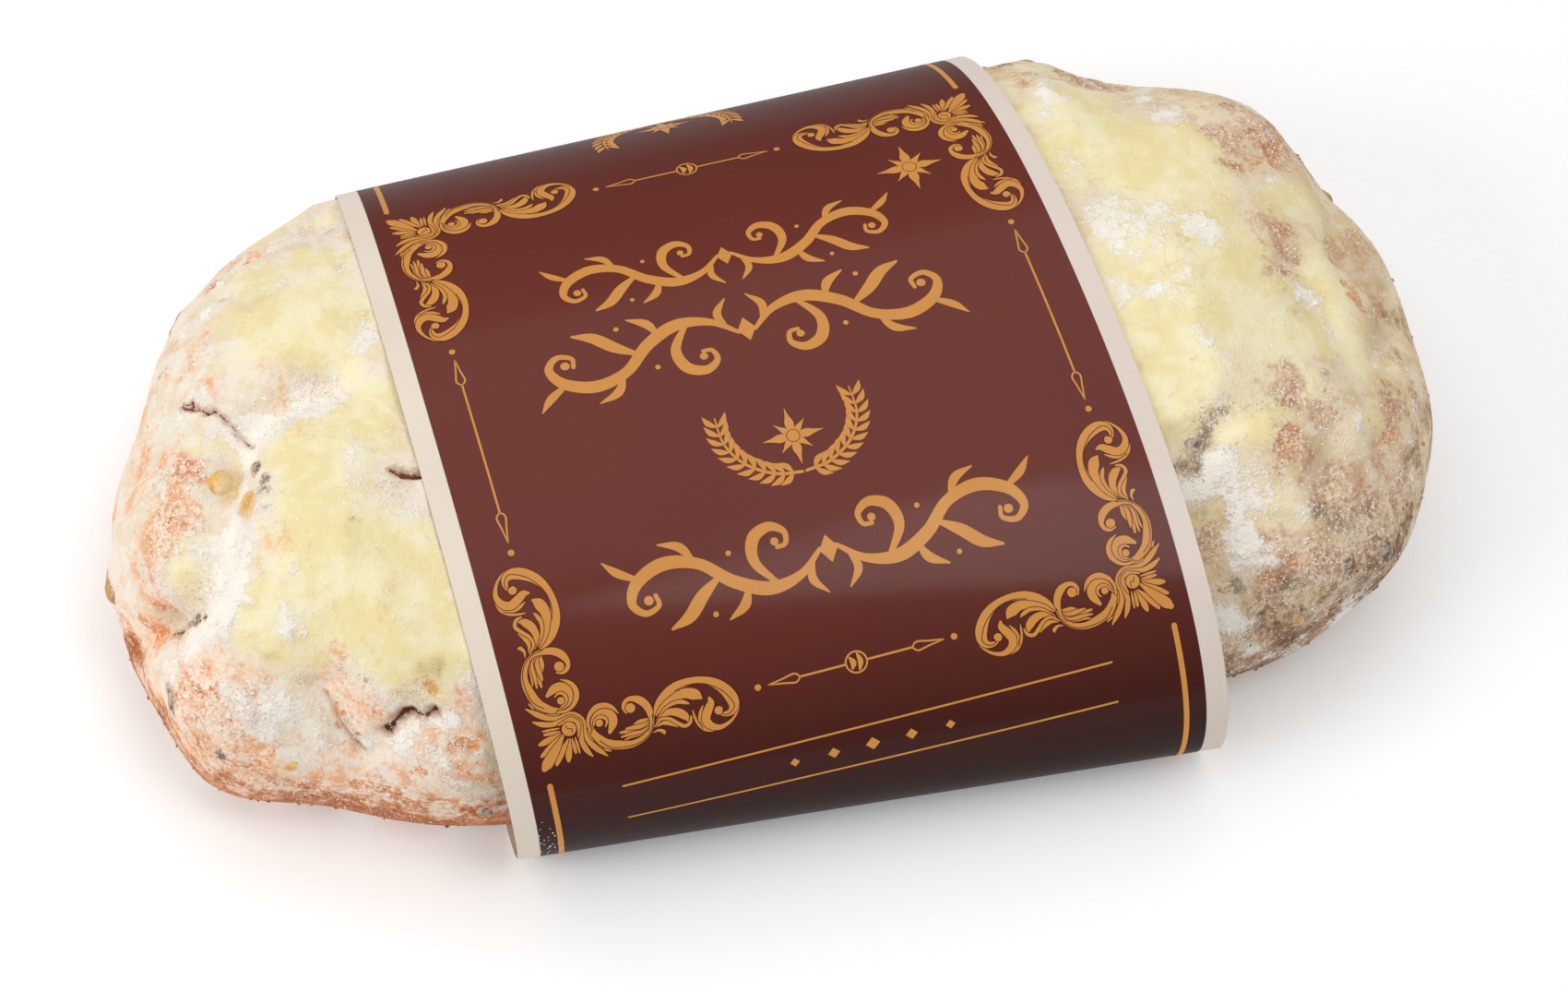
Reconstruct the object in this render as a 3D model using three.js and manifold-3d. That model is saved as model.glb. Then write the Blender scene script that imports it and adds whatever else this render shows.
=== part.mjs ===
// Stollen: a sugared fruit loaf with a paper sleeve round its middle.
// Millimetres, +Z up, +X along the loaf, -Y the side whose sleeve carries the lower border.
// The origin is the middle of the footprint, on the table.
import * as THREE from 'three';
import { mergeVertices } from 'three/addons/utils/BufferGeometryUtils.js';
import Module from 'manifold-3d';

const wasm = await Module();
wasm.setup();

// ---- loaf -------------------------------------------------------------------------------
const LOAF_BASE = 0.9;
const CROWN_LINE = { y: -5, from: -60, to: 56, fromTop: 55.4, toTop: 54.4 };
// Widest outline seen from above, walked from the +X end through the back (+Y).
const LOAF_OUTLINE = [
  [124, 0], [116.5, 36], [89.5, 57.5], [58, 75],
  [-2, 78], [-62, 79.5], [-97, 62.5], [-113.5, 35.5],
  [-123.5, 2.5], [-118, -30], [-94.5, -48], [-62, -61.5],
  [-2, -73], [58, -70], [100.5, -62.5], [120.5, -33.5],
];
// How each side of the loaf rounds over: height of its widest level, and squareness above it.
const RIGHT_SIDE = { waist: 18, squareness: 2.45 };
const BACK_SIDE = { waist: 12.5, squareness: 2.2 };
const LEFT_SIDE = { waist: 15, squareness: 2.6 };
const FRONT_SIDE = { waist: 20, squareness: 2.0 };
const BASE_INSET = 0.21;
const LOAF_COLUMNS = 92;
const LOAF_RISES = { first: 0.985, upper: 21, lower: 6 };
const END_DENSITY = 0.35;
const BASE_FADE = { from: 1, to: 9 };

// ---- sleeve -----------------------------------------------------------------------------
const SLEEVE = { from: -66, to: 62, paper: 0.5 };
const SLEEVE_LEFT = {
  top: 56,
  front: { halfWidth: 61.6, waist: 20, squareness: 2.0, inset: 0.2 },
  back: { halfWidth: 82.7, waist: 8, squareness: 2.35, inset: 0.12 },
};
const SLEEVE_RIGHT = {
  top: 54.2,
  front: { halfWidth: 76.3, waist: 14, squareness: 2.15, inset: 0.2 },
  back: { halfWidth: 82.3, waist: 8, squareness: 2.2, inset: 0.12 },
};
const SLEEVE_COLUMNS = 76;
const SLEEVE_SPANS = 5;
const SLEEVE_CLEARANCE = 1.0;
// Past the sleeve's edges the loaf is free to swell, a little more with every millimetre.
const TUCK_MARGIN = 2;
const TUCK_RELEASE = 62;

const CLEARANCE = 0.35;
// Moves the middle of the footprint onto the origin.
const CENTRING = { x: 0.2, y: 1.8 };
const FULL_TURN = Math.PI * 2;
const QUARTER_TURN = Math.PI / 2;

const clamp = THREE.MathUtils.clamp;
const lerp = THREE.MathUtils.lerp;
const smoothstep = THREE.MathUtils.smoothstep;

// ---- places on the loaf -----------------------------------------------------------------
// A place is [turn, rise]: turn runs 0..1 round the outline from the +X end through the back,
// rise runs from 0 on the widest level to 1 on the crown line and -1 under the base.

function outlineAt(turn) {
  const count = LOAF_OUTLINE.length;
  const along = (((turn % 1) + 1) % 1) * count;
  const span = Math.floor(along);
  const t = along - span;
  const point = (offset) => LOAF_OUTLINE[(span + offset + count) % count];
  const blend = (axis) => {
    const [a, b, c, d] = [point(-1)[axis], point(0)[axis], point(1)[axis], point(2)[axis]];
    return b + 0.5 * t * (c - a + t * (2 * a - 5 * b + 4 * c - d + t * (3 * (b - c) + d - a)));
  };
  return [blend(0), blend(1)];
}

function sideAt(dx, dy) {
  const length = Math.hypot(dx, dy);
  const endShare = (dx / length) ** 2;
  const end = dx > 0 ? RIGHT_SIDE : LEFT_SIDE;
  const flank = dy > 0 ? BACK_SIDE : FRONT_SIDE;
  return {
    waist: lerp(flank.waist, end.waist, endShare),
    squareness: lerp(flank.squareness, end.squareness, endShare),
  };
}

function smoothLoafPoint(turn, rise) {
  const [x, y] = outlineAt(turn);
  const footX = clamp(x, CROWN_LINE.from, CROWN_LINE.to);
  const [dx, dy] = [x - footX, y - CROWN_LINE.y];
  const { waist, squareness } = sideAt(dx, dy);
  const along = (footX - CROWN_LINE.from) / (CROWN_LINE.to - CROWN_LINE.from);
  const top = lerp(CROWN_LINE.fromTop, CROWN_LINE.toTop, along);
  const angle = Math.abs(rise) * QUARTER_TURN;
  let reach;
  let z;
  if (rise >= 0) {
    reach = Math.max(Math.cos(angle), 0) ** (2 / squareness);
    z = waist + (top - waist) * Math.sin(angle) ** (2 / squareness);
  } else {
    reach = 1 - BASE_INSET * (1 - Math.cos(angle));
    z = LOAF_BASE + (waist - LOAF_BASE) * (1 - Math.sin(angle));
  }
  return new THREE.Vector3(footX + reach * dx, CROWN_LINE.y + reach * dy, z);
}

const NORMAL_STEP = 0.004;
const NORMAL_LIMIT = 0.98;

function loafNormal(turn, rise) {
  const low = Math.max(rise - NORMAL_STEP, -NORMAL_LIMIT);
  const high = Math.min(rise + NORMAL_STEP, NORMAL_LIMIT);
  const round = smoothLoafPoint(turn + NORMAL_STEP, rise).sub(smoothLoafPoint(turn - NORMAL_STEP, rise));
  const up = smoothLoafPoint(turn, high).sub(smoothLoafPoint(turn, low));
  return round.cross(up).normalize();
}

// ---- relief -----------------------------------------------------------------------------
// Lumps are waves in directions spread by the golden angle, so that none repeats another.
const LUMPS = { count: 9, longest: 74, shortest: 21, height: 0.5, falloff: 0.35 };
const GOLDEN_ANGLE = 2.39996;

// Swells and hollows: [turn, rise, radius, height].
const SWELLS = [
  [0.465, 0.28, 5, 1.6],
  [0.448, 0.31, 6, 1.2],
  [0.415, 0.17, 6, 1.3],
  [0.425, 0.38, 10, 1.0],
  [0.478, 0.50, 13, 1.6],
  [0.508, 0.45, 13, 2.2],
  [0.530, 0.70, 11, 1.3],
  [0.400, 0.66, 16, 1.6],
  [0.640, 0.55, 14, 1.6],
  [0.670, 0.21, 6, 1.6],
  [0.600, 0.20, 12, 1.0],
  [0.579, 0.81, 4, 0.9],
  [0.600, 0.87, 5, 0.8],
  [0.159, 0.33, 8, 1.5],
  [0.115, 0.30, 12, 1.0],
  [0.060, 0.45, 13, 1.3],
  [0.868, 0.60, 12, 2.2],
  [0.845, 0.36, 10, 1.2],
  [0.880, 0.25, 8, 1.2],
  [0.835, 0.14, 8, -1.4],
  [0.965, 0.20, 12, 0.8],
  [0.300, 0.30, 12, 1.2],
  [0.220, 0.34, 14, 1.3],
  [0.190, 0.12, 9, -1.3],
  [0.340, 0.14, 9, -1.3],
];

// Furrows: width, height (negative goes in) and the places they run through.
const FURROWS = [
  {
    name: 'end lobe fold', width: 4.2, height: -3.6,
    path: [
      [0.401, 0.807], [0.449, 0.70], [0.466, 0.667], [0.491, 0.66],
      [0.517, 0.627], [0.534, 0.587], [0.541, 0.40], [0.532, 0.29],
    ],
  },
  {
    name: 'front flake step', width: 3.4, height: -1.7,
    path: [[0.616, 0.41], [0.627, 0.32], [0.636, 0.23], [0.643, 0.30], [0.655, 0.385]],
  },
  {
    name: 'right rim crease', width: 4.2, height: -2.2,
    path: [[0.075, 0.28], [0.030, 0.287], [0.990, 0.44], [0.975, 0.333], [0.957, 0.327], [0.940, 0.40]],
  },
  {
    name: 'right end long crease', width: 4.2, height: -1.4,
    path: [[0.985, 0.60], [0.960, 0.58], [0.930, 0.50], [0.905, 0.38]],
  },
  {
    name: 'right lump crease', width: 3.8, height: -1.9,
    path: [
      [0.834, 0.66], [0.848, 0.66], [0.869, 0.687], [0.884, 0.66],
      [0.889, 0.607], [0.894, 0.527], [0.875, 0.453],
    ],
  },
  {
    name: 'back long crease', width: 4.6, height: -1.8,
    path: [[0.330, 0.42], [0.365, 0.36], [0.395, 0.30], [0.420, 0.20]],
  },
  {
    name: 'back right crease', width: 4.6, height: -1.6,
    path: [[0.190, 0.36], [0.150, 0.40], [0.120, 0.34]],
  },
];

const placeOnLoaf = ([turn, rise]) => smoothLoafPoint(turn, rise);

const swells = SWELLS.map(([turn, rise, radius, height]) => ({
  centre: smoothLoafPoint(turn, rise), radius, height,
}));

const furrows = FURROWS.map(({ width, height, path }) => ({
  width, height, path: path.map(placeOnLoaf),
}));

function distanceToPath(point, path) {
  const nearest = new THREE.Vector3();
  let best = Infinity;
  for (let i = 0; i + 1 < path.length; i += 1) {
    new THREE.Line3(path[i], path[i + 1]).closestPointToPoint(point, true, nearest);
    best = Math.min(best, nearest.distanceTo(point));
  }
  return best;
}

function lumpHeight(point) {
  let height = 0;
  for (let i = 0; i < LUMPS.count; i += 1) {
    const tilt = 1 - (2 * (i + 0.5)) / LUMPS.count;
    const flat = Math.sqrt(1 - tilt * tilt);
    const heading = new THREE.Vector3(
      flat * Math.cos(GOLDEN_ANGLE * i), flat * Math.sin(GOLDEN_ANGLE * i), tilt);
    const share = i / (LUMPS.count - 1);
    const length = LUMPS.longest * (LUMPS.shortest / LUMPS.longest) ** share;
    const phase = GOLDEN_ANGLE * i * i;
    height += LUMPS.height * (length / LUMPS.longest) ** LUMPS.falloff
      * Math.sin((FULL_TURN * heading.dot(point)) / length + phase);
  }
  return height;
}

function reliefAt(point) {
  let height = lumpHeight(point);
  for (const swell of swells) {
    height += swell.height * Math.exp(-((point.distanceTo(swell.centre) / swell.radius) ** 2));
  }
  for (const furrow of furrows) {
    const distance = distanceToPath(point, furrow.path);
    height += furrow.height * Math.exp(-((distance / furrow.width) ** 2));
  }
  return height * smoothstep(point.z, LOAF_BASE + BASE_FADE.from, LOAF_BASE + BASE_FADE.to);
}

// ---- sleeve section ---------------------------------------------------------------------
function sleeveSection(x, backward) {
  const along = clamp((x - SLEEVE.from) / (SLEEVE.to - SLEEVE.from), 0, 1);
  const side = backward ? 'back' : 'front';
  const between = (key) => lerp(SLEEVE_LEFT[side][key], SLEEVE_RIGHT[side][key], along);
  return {
    top: lerp(SLEEVE_LEFT.top, SLEEVE_RIGHT.top, along),
    halfWidth: between('halfWidth'),
    waist: between('waist'),
    squareness: between('squareness'),
    inset: between('inset'),
  };
}

// angle 0 is the crown, a quarter turn the back fold, half a turn the middle of the underside.
function sleevePoint(x, angle, inward) {
  const backward = angle < Math.PI;
  const { top, halfWidth, waist, squareness, inset } = sleeveSection(x, backward);
  const fromTop = backward ? angle : FULL_TURN - angle;
  const out = (backward ? 1 : -1) * (halfWidth - inward);
  if (fromTop <= QUARTER_TURN) {
    const reach = Math.sin(fromTop) ** (2 / squareness);
    const rise = Math.max(Math.cos(fromTop), 0) ** (2 / squareness);
    return new THREE.Vector3(x, CROWN_LINE.y + out * reach, waist + (top - inward - waist) * rise);
  }
  // Half of the way down from the waist is the bend under the loaf, the other half the flat base.
  const under = (2 * (fromTop - QUARTER_TURN)) / QUARTER_TURN;
  const bend = Math.min(under, 1) * QUARTER_TURN;
  const reach = (1 - inset * (1 - Math.cos(bend))) * (1 - Math.max(under - 1, 0));
  const z = inward + (waist - inward) * (1 - Math.sin(bend));
  return new THREE.Vector3(x, CROWN_LINE.y + out * reach, z);
}

// Keeps a loaf point inside the sleeve, and eases it out again past the sleeve's edges.
function tuckUnderSleeve(point) {
  const free = Math.max(SLEEVE.from - point.x, point.x - SLEEVE.to, TUCK_MARGIN) - TUCK_MARGIN;
  const limit = 1 + (free / TUCK_RELEASE) ** 2;
  const { top, halfWidth, waist, squareness } = sleeveSection(point.x, point.y > CROWN_LINE.y);
  const inward = SLEEVE.paper + SLEEVE_CLEARANCE;
  const across = Math.abs(point.y - CROWN_LINE.y) / (halfWidth - inward);
  const above = Math.max(point.z - waist, 0) / (top - inward - waist);
  const size = (across ** squareness + above ** squareness) ** (1 / squareness);
  if (size > limit) {
    point.y = CROWN_LINE.y + ((point.y - CROWN_LINE.y) * limit) / size;
    point.z = point.z > waist ? waist + ((point.z - waist) * limit) / size : point.z;
  }
}

// ---- meshes -----------------------------------------------------------------------------
function indexedGeometry(points, triangles) {
  const geometry = new THREE.BufferGeometry().setFromPoints(points);
  geometry.setIndex(triangles.flat());
  return geometry;
}

function loafGeometry() {
  const rises = [];
  for (let i = 1; i <= LOAF_RISES.upper; i += 1) {
    rises.push(1 - i / LOAF_RISES.upper);
  }
  for (let i = 1; i <= LOAF_RISES.lower; i += 1) {
    rises.push(-i / LOAF_RISES.lower);
  }
  const points = [];
  for (const rise of [LOAF_RISES.first, ...rises]) {
    for (let column = 0; column < LOAF_COLUMNS; column += 1) {
      const even = column / LOAF_COLUMNS;
      const turn = even - (END_DENSITY * Math.sin(2 * FULL_TURN * even)) / (2 * FULL_TURN);
      const point = smoothLoafPoint(turn, rise);
      point.addScaledVector(loafNormal(turn, rise), reliefAt(point));
      tuckUnderSleeve(point);
      points.push(point);
    }
  }
  const rings = rises.length + 1;
  const innerTop = sleeveSection(0, true).top - SLEEVE.paper - SLEEVE_CLEARANCE;
  const topPole = points.push(new THREE.Vector3(0, CROWN_LINE.y, innerTop)) - 1;
  const basePole = points.push(new THREE.Vector3(0, CROWN_LINE.y, LOAF_BASE)) - 1;
  const triangles = [];
  for (let column = 0; column < LOAF_COLUMNS; column += 1) {
    const next = (column + 1) % LOAF_COLUMNS;
    triangles.push([topPole, column, next]);
    for (let ring = 0; ring + 1 < rings; ring += 1) {
      const [upper, lower] = [ring * LOAF_COLUMNS, (ring + 1) * LOAF_COLUMNS];
      triangles.push([upper + column, lower + column, lower + next]);
      triangles.push([upper + column, lower + next, upper + next]);
    }
    const last = (rings - 1) * LOAF_COLUMNS;
    triangles.push([basePole, last + next, last + column]);
  }
  return indexedGeometry(points, triangles);
}

function sleeveGeometry() {
  const points = [];
  const rows = [];
  for (let i = 0; i <= SLEEVE_SPANS; i += 1) {
    rows.push({ x: lerp(SLEEVE.from, SLEEVE.to, i / SLEEVE_SPANS), inward: 0 });
  }
  for (let i = SLEEVE_SPANS; i >= 0; i -= 1) {
    rows.push({ x: lerp(SLEEVE.from, SLEEVE.to, i / SLEEVE_SPANS), inward: SLEEVE.paper });
  }
  for (const { x, inward } of rows) {
    for (let column = 0; column < SLEEVE_COLUMNS; column += 1) {
      points.push(sleevePoint(x, (FULL_TURN * column) / SLEEVE_COLUMNS, inward));
    }
  }
  const triangles = [];
  rows.forEach((_, row) => {
    const here = row * SLEEVE_COLUMNS;
    const there = ((row + 1) % rows.length) * SLEEVE_COLUMNS;
    for (let column = 0; column < SLEEVE_COLUMNS; column += 1) {
      const next = (column + 1) % SLEEVE_COLUMNS;
      triangles.push([here + column, there + column, there + next]);
      triangles.push([here + column, there + next, here + next]);
    }
  });
  return indexedGeometry(points, triangles);
}

// ---- solids -----------------------------------------------------------------------------
function toSolid(geometry) {
  const bare = geometry.clone();
  for (const name of ['normal', 'uv']) {
    bare.deleteAttribute(name);
  }
  const merged = mergeVertices(bare, 1e-4);
  return new wasm.Manifold(new wasm.Mesh({
    numProp: 3,
    vertProperties: new Float32Array(merged.attributes.position.array),
    triVerts: new Uint32Array(merged.index.array),
  }));
}

function fromSolid(solid) {
  const mesh = solid.getMesh();
  const geometry = new THREE.BufferGeometry();
  geometry.setAttribute('position', new THREE.BufferAttribute(mesh.vertProperties, 3));
  geometry.setIndex(new THREE.BufferAttribute(mesh.triVerts, 1));
  return geometry;
}

// ---- fruit ------------------------------------------------------------------------------
// Each piece: its place, length, width and thickness, how far it stands out of the crust,
// and its turn round the crust's normal in degrees.
const RAISIN = { color: 0x4a362c, roughness: 0.6, wrinkles: 0.1 };
const SULTANA = { color: 0xb08242, roughness: 0.45, wrinkles: 0.07 };
const PEEL = { color: 0xd6b05c, roughness: 0.4, wrinkles: 0.03 };
const FRUIT = [
  { name: 'sultana_left_end', kind: SULTANA, at: [0.500, 0.09], size: [10, 6, 6], proud: 2.2, turn: 80 },
  { name: 'sultana_back_right', kind: SULTANA, at: [0.157, 0.25], size: [11, 7, 6], proud: 0.9, turn: 10 },
  { name: 'sultana_right_end', kind: SULTANA, at: [0.030, 0.14], size: [9, 6, 5.5], proud: 1.1, turn: 20 },
  { name: 'raisin_left_fold', kind: RAISIN, at: [0.487, 0.71], size: [5.5, 3.8, 4], proud: 0.6, turn: 95 },
  { name: 'raisin_left_hollow', kind: RAISIN, at: [0.542, 0.385], size: [9, 5, 5], proud: 0.6, turn: 20 },
  { name: 'raisin_left_side', kind: RAISIN, at: [0.558, 0.187], size: [8, 5.5, 5], proud: 0.8, turn: 70 },
  { name: 'raisin_left_low', kind: RAISIN, at: [0.586, 0.147], size: [7, 5.5, 5], proud: 0.9, turn: 15 },
  { name: 'raisin_front_low', kind: RAISIN, at: [0.676, -0.03], size: [8, 6.5, 5], proud: 1.0, turn: 25 },
  { name: 'raisin_right_low', kind: RAISIN, at: [0.876, 0.17], size: [9, 6.5, 6], proud: 1.2, turn: 65 },
  { name: 'raisin_right_side', kind: RAISIN, at: [0.859, 0.24], size: [7, 5, 4.5], proud: 0.7, turn: 10 },
  { name: 'raisin_right_crown', kind: RAISIN, at: [0.839, 0.633], size: [8, 5, 4.5], proud: 0.5, turn: 120 },
  { name: 'raisin_back_left', kind: RAISIN, at: [0.392, 0.16], size: [8, 6, 5], proud: 1.0, turn: 35 },
  { name: 'raisin_back_right', kind: RAISIN, at: [0.118, 0.14], size: [8.5, 6, 5], proud: 1.0, turn: 75 },
  { name: 'peel_left_lobe', kind: PEEL, at: [0.490, 0.60], size: [7, 6, 4.5], proud: 0.8, turn: 10 },
  { name: 'peel_left_crown', kind: PEEL, at: [0.510, 0.69], size: [6.5, 5.5, 4], proud: 0.7, turn: 50 },
  { name: 'peel_left_low', kind: PEEL, at: [0.609, 0.133], size: [7.5, 5, 4], proud: 0.7, turn: 5 },
  { name: 'peel_right_low', kind: PEEL, at: [0.842, 0.10], size: [6.5, 5, 4.5], proud: 0.8, turn: 20 },
  { name: 'peel_back_left', kind: PEEL, at: [0.425, 0.10], size: [7, 5.5, 4.5], proud: 0.9, turn: 60 },
];
const FRUIT_FACETS = { around: 10, along: 6 };
// A wrinkle's turns round the piece and its twist from end to end.
const WRINKLE = { folds: 4, twist: 2.1 };

function fruitGeometry(piece, index) {
  const geometry = new THREE.SphereGeometry(1, FRUIT_FACETS.around, FRUIT_FACETS.along);
  const position = geometry.attributes.position;
  const point = new THREE.Vector3();
  for (let i = 0; i < position.count; i += 1) {
    point.fromBufferAttribute(position, i);
    const around = Math.atan2(point.z, point.x);
    const girth = Math.sqrt(Math.max(1 - point.y ** 2, 0));
    const crease = girth * Math.sin(WRINKLE.folds * around + WRINKLE.twist * point.y + index);
    point.multiplyScalar(1 + piece.kind.wrinkles * crease);
    position.setXYZ(i, point.x, point.y, point.z);
  }
  return geometry;
}

function seatedFruit(piece, index, grow) {
  const [turn, rise] = piece.at;
  const normal = loafNormal(turn, rise);
  const seat = smoothLoafPoint(turn, rise);
  seat.addScaledVector(normal, reliefAt(seat));
  const centre = seat.addScaledVector(normal, piece.proud - piece.size[2] / 2);
  const half = piece.size.map((length) => length / 2 + grow);
  const pose = new THREE.Quaternion().setFromUnitVectors(new THREE.Vector3(0, 0, 1), normal);
  const spin = new THREE.Quaternion().setFromAxisAngle(
    new THREE.Vector3(0, 0, 1), THREE.MathUtils.degToRad(piece.turn));
  const geometry = fruitGeometry(piece, index);
  const place = new THREE.Matrix4().compose(centre, pose.multiply(spin), new THREE.Vector3(...half));
  return geometry.applyMatrix4(place);
}

// ---- cracks -----------------------------------------------------------------------------
// A crack is a chain of gashes between places: how wide they are, and how deep they go.
const CRACKS = [
  {
    name: 'lobe crack', width: 1.5, depth: 3.4,
    path: [[0.441, 0.45], [0.449, 0.53], [0.454, 0.60], [0.464, 0.667]],
  },
  { name: 'sleeve slit', width: 1.8, depth: 4.0, path: [[0.519, 0.935], [0.545, 0.942], [0.575, 0.95]] },
  {
    name: 'front tear', width: 2.4, depth: 4.2,
    path: [[0.642, 0.295], [0.648, 0.36], [0.654, 0.387], [0.664, 0.40]],
  },
  { name: 'left hole', width: 1.8, depth: 3.0, path: [[0.528, 0.26], [0.532, 0.29]] },
  { name: 'back tear', width: 2.2, depth: 3.6, path: [[0.372, 0.30], [0.384, 0.33], [0.398, 0.32]] },
];
// Each gash runs on a little past its ends, so that the next one joins it.
const GASH_HALF_LENGTH = 0.62;

function gashGeometry(start, end, width, depth) {
  const [a, b] = [placeOnLoaf(start), placeOnLoaf(end)];
  const middle = a.clone().add(b).multiplyScalar(0.5);
  const normal = loafNormal((start[0] + end[0]) / 2, (start[1] + end[1]) / 2);
  middle.addScaledVector(normal, reliefAt(middle));
  const along = b.clone().sub(a);
  const length = along.length();
  along.normalize();
  const across = normal.clone().cross(along).normalize();
  const outward = along.clone().cross(across);
  const frame = new THREE.Matrix4().makeBasis(along, across, outward).setPosition(middle);
  const gash = new THREE.IcosahedronGeometry(1, 1);
  return gash.scale(length * GASH_HALF_LENGTH, width / 2, depth).applyMatrix4(frame);
}

function carveCracks(loaf) {
  let carved = loaf;
  for (const { width, depth, path } of CRACKS) {
    for (let i = 0; i + 1 < path.length; i += 1) {
      carved = carved.subtract(toSolid(gashGeometry(path[i], path[i + 1], width, depth)));
    }
  }
  return carved;
}

// ---- assembly ---------------------------------------------------------------------------
function addMesh(group, name, geometry, { color, roughness }) {
  geometry.translate(CENTRING.x, CENTRING.y, 0);
  const material = new THREE.MeshStandardMaterial({ color, roughness, metalness: 0 });
  const mesh = new THREE.Mesh(geometry, material);
  mesh.name = name;
  group.add(mesh);
}

const stollen = new THREE.Group();
let loaf = carveCracks(toSolid(loafGeometry()));
FRUIT.forEach((piece, index) => {
  loaf = loaf.subtract(toSolid(seatedFruit(piece, index, CLEARANCE)));
  addMesh(stollen, piece.name, fromSolid(toSolid(seatedFruit(piece, index, 0))), piece.kind);
});
addMesh(stollen, 'loaf', fromSolid(loaf), { color: 0xecdcb2, roughness: 0.85 });
addMesh(stollen, 'sleeve', sleeveGeometry(), { color: 0x603028, roughness: 0.35 });

export default stollen;
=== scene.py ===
"""Looks for the stollen: a butter-glazed, sugared fruit loaf in a printed paper sleeve."""

import math
from types import SimpleNamespace

import bpy
import numpy as np
from mathutils import Matrix, Vector


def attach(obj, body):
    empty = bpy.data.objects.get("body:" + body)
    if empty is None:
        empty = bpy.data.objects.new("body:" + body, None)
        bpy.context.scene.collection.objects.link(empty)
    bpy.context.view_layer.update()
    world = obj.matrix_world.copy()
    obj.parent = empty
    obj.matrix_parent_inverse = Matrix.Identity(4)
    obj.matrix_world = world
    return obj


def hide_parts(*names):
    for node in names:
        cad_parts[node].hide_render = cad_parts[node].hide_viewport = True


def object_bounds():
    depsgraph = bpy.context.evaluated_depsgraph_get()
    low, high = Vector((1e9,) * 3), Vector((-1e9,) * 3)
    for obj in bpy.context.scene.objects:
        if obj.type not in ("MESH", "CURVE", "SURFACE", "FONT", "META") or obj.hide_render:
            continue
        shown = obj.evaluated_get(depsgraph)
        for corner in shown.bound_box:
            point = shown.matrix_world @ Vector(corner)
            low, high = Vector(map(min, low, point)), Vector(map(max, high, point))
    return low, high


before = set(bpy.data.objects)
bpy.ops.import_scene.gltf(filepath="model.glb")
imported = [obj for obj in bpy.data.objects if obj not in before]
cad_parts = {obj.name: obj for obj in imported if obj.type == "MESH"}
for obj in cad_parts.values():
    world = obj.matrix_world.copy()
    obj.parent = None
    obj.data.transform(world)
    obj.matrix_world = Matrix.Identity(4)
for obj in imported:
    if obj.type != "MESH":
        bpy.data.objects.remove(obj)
cad_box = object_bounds()

MM = 0.001
QUARTER_TURN = math.pi / 2
FULL_TURN = 2 * math.pi
# Places below are in the maker's own millimetres. This moves the footprint's middle onto the origin.
CENTRING = np.array([0.2, 1.8, 0.0])


# ---- numbers over many points
NOISE_TILE = 256
NOISE_GAIN = 1.7


def lerp(a, b, share):
    return a + (b - a) * share


def soft_step(value, low, high):
    share = np.clip((value - low) / (high - low), 0, 1)
    return share * share * (3 - 2 * share)


def hill(distance, radius):
    return np.exp(-(distance / radius) ** 2)


def length_of(vectors):
    return np.sqrt((vectors * vectors).sum(-1))


def smooth_curve(a, b, c, d, t):
    """The stretch from b to c of a smooth curve through four knots, at shares t of it."""
    return b + 0.5 * t * (c - a + t * (2 * a - 5 * b + 4 * c - d + t * (3 * (b - c) + d - a)))


def gradient_noise(points, spacing, seed):
    """Smooth noise of about -1..1 whose bumps lie about spacing millimetres apart."""
    random = np.random.default_rng(seed)
    order = random.permutation(NOISE_TILE)
    headings = random.normal(size=(NOISE_TILE, 3))
    headings /= length_of(headings)[:, None]
    cell = np.floor(points / spacing).astype(int)
    within = points / spacing - cell
    ease = within ** 3 * (within * (within * 6 - 15) + 10)
    total = np.zeros(points.shape[:-1])
    for corner in np.ndindex(2, 2, 2):
        index = cell + corner
        pick = order[index[..., 0] % NOISE_TILE]
        pick = order[(pick + index[..., 1]) % NOISE_TILE]
        pick = order[(pick + index[..., 2]) % NOISE_TILE]
        slope = ((within - corner) * headings[pick]).sum(-1)
        total += slope * np.where(corner, ease, 1 - ease).prod(-1)
    return total * NOISE_GAIN


def cloud_noise(points, spacing, seed, octaves=3):
    """Noise in which each finer layer is half as strong."""
    total = np.zeros(points.shape[:-1])
    for octave in range(octaves):
        total += gradient_noise(points, spacing / 2 ** octave, seed + octave) / 2 ** octave
    return total


# ---- the loaf's form
LOAF_BASE = 0.9
CROWN_Y = -5.0
CROWN_X = (-60.0, 56.0)
CROWN_TOP = (55.4, 54.4)
# Widest outline seen from above, walked from the +X end through the back (+Y).
LOAF_OUTLINE = np.array([
    (124, 0), (116.5, 36), (89.5, 57.5), (58, 75),
    (-2, 78), (-62, 79.5), (-97, 62.5), (-113.5, 35.5),
    (-123.5, 2.5), (-118, -30), (-94.5, -48), (-62, -61.5),
    (-2, -73), (58, -70), (100.5, -62.5), (120.5, -33.5),
])
# Height of each side's widest level, and how square it is above it.
RIGHT_SIDE = (18, 2.45)
BACK_SIDE = (12.5, 2.2)
LEFT_SIDE = (15, 2.6)
FRONT_SIDE = (20, 2.0)
BASE_INSET = 0.21
NORMAL_STEP = 0.004
NORMAL_LIMIT = 0.98
# Heights above the base over which the relief sets in.
RELIEF_FOOT = (1, 9)


def outline_at(turn):
    count = len(LOAF_OUTLINE)
    along = (turn % 1) * count
    span = np.floor(along).astype(int)
    knots = (LOAF_OUTLINE[(span + step) % count] for step in (-1, 0, 1, 2))
    return smooth_curve(*knots, (along - span)[..., None])


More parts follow.
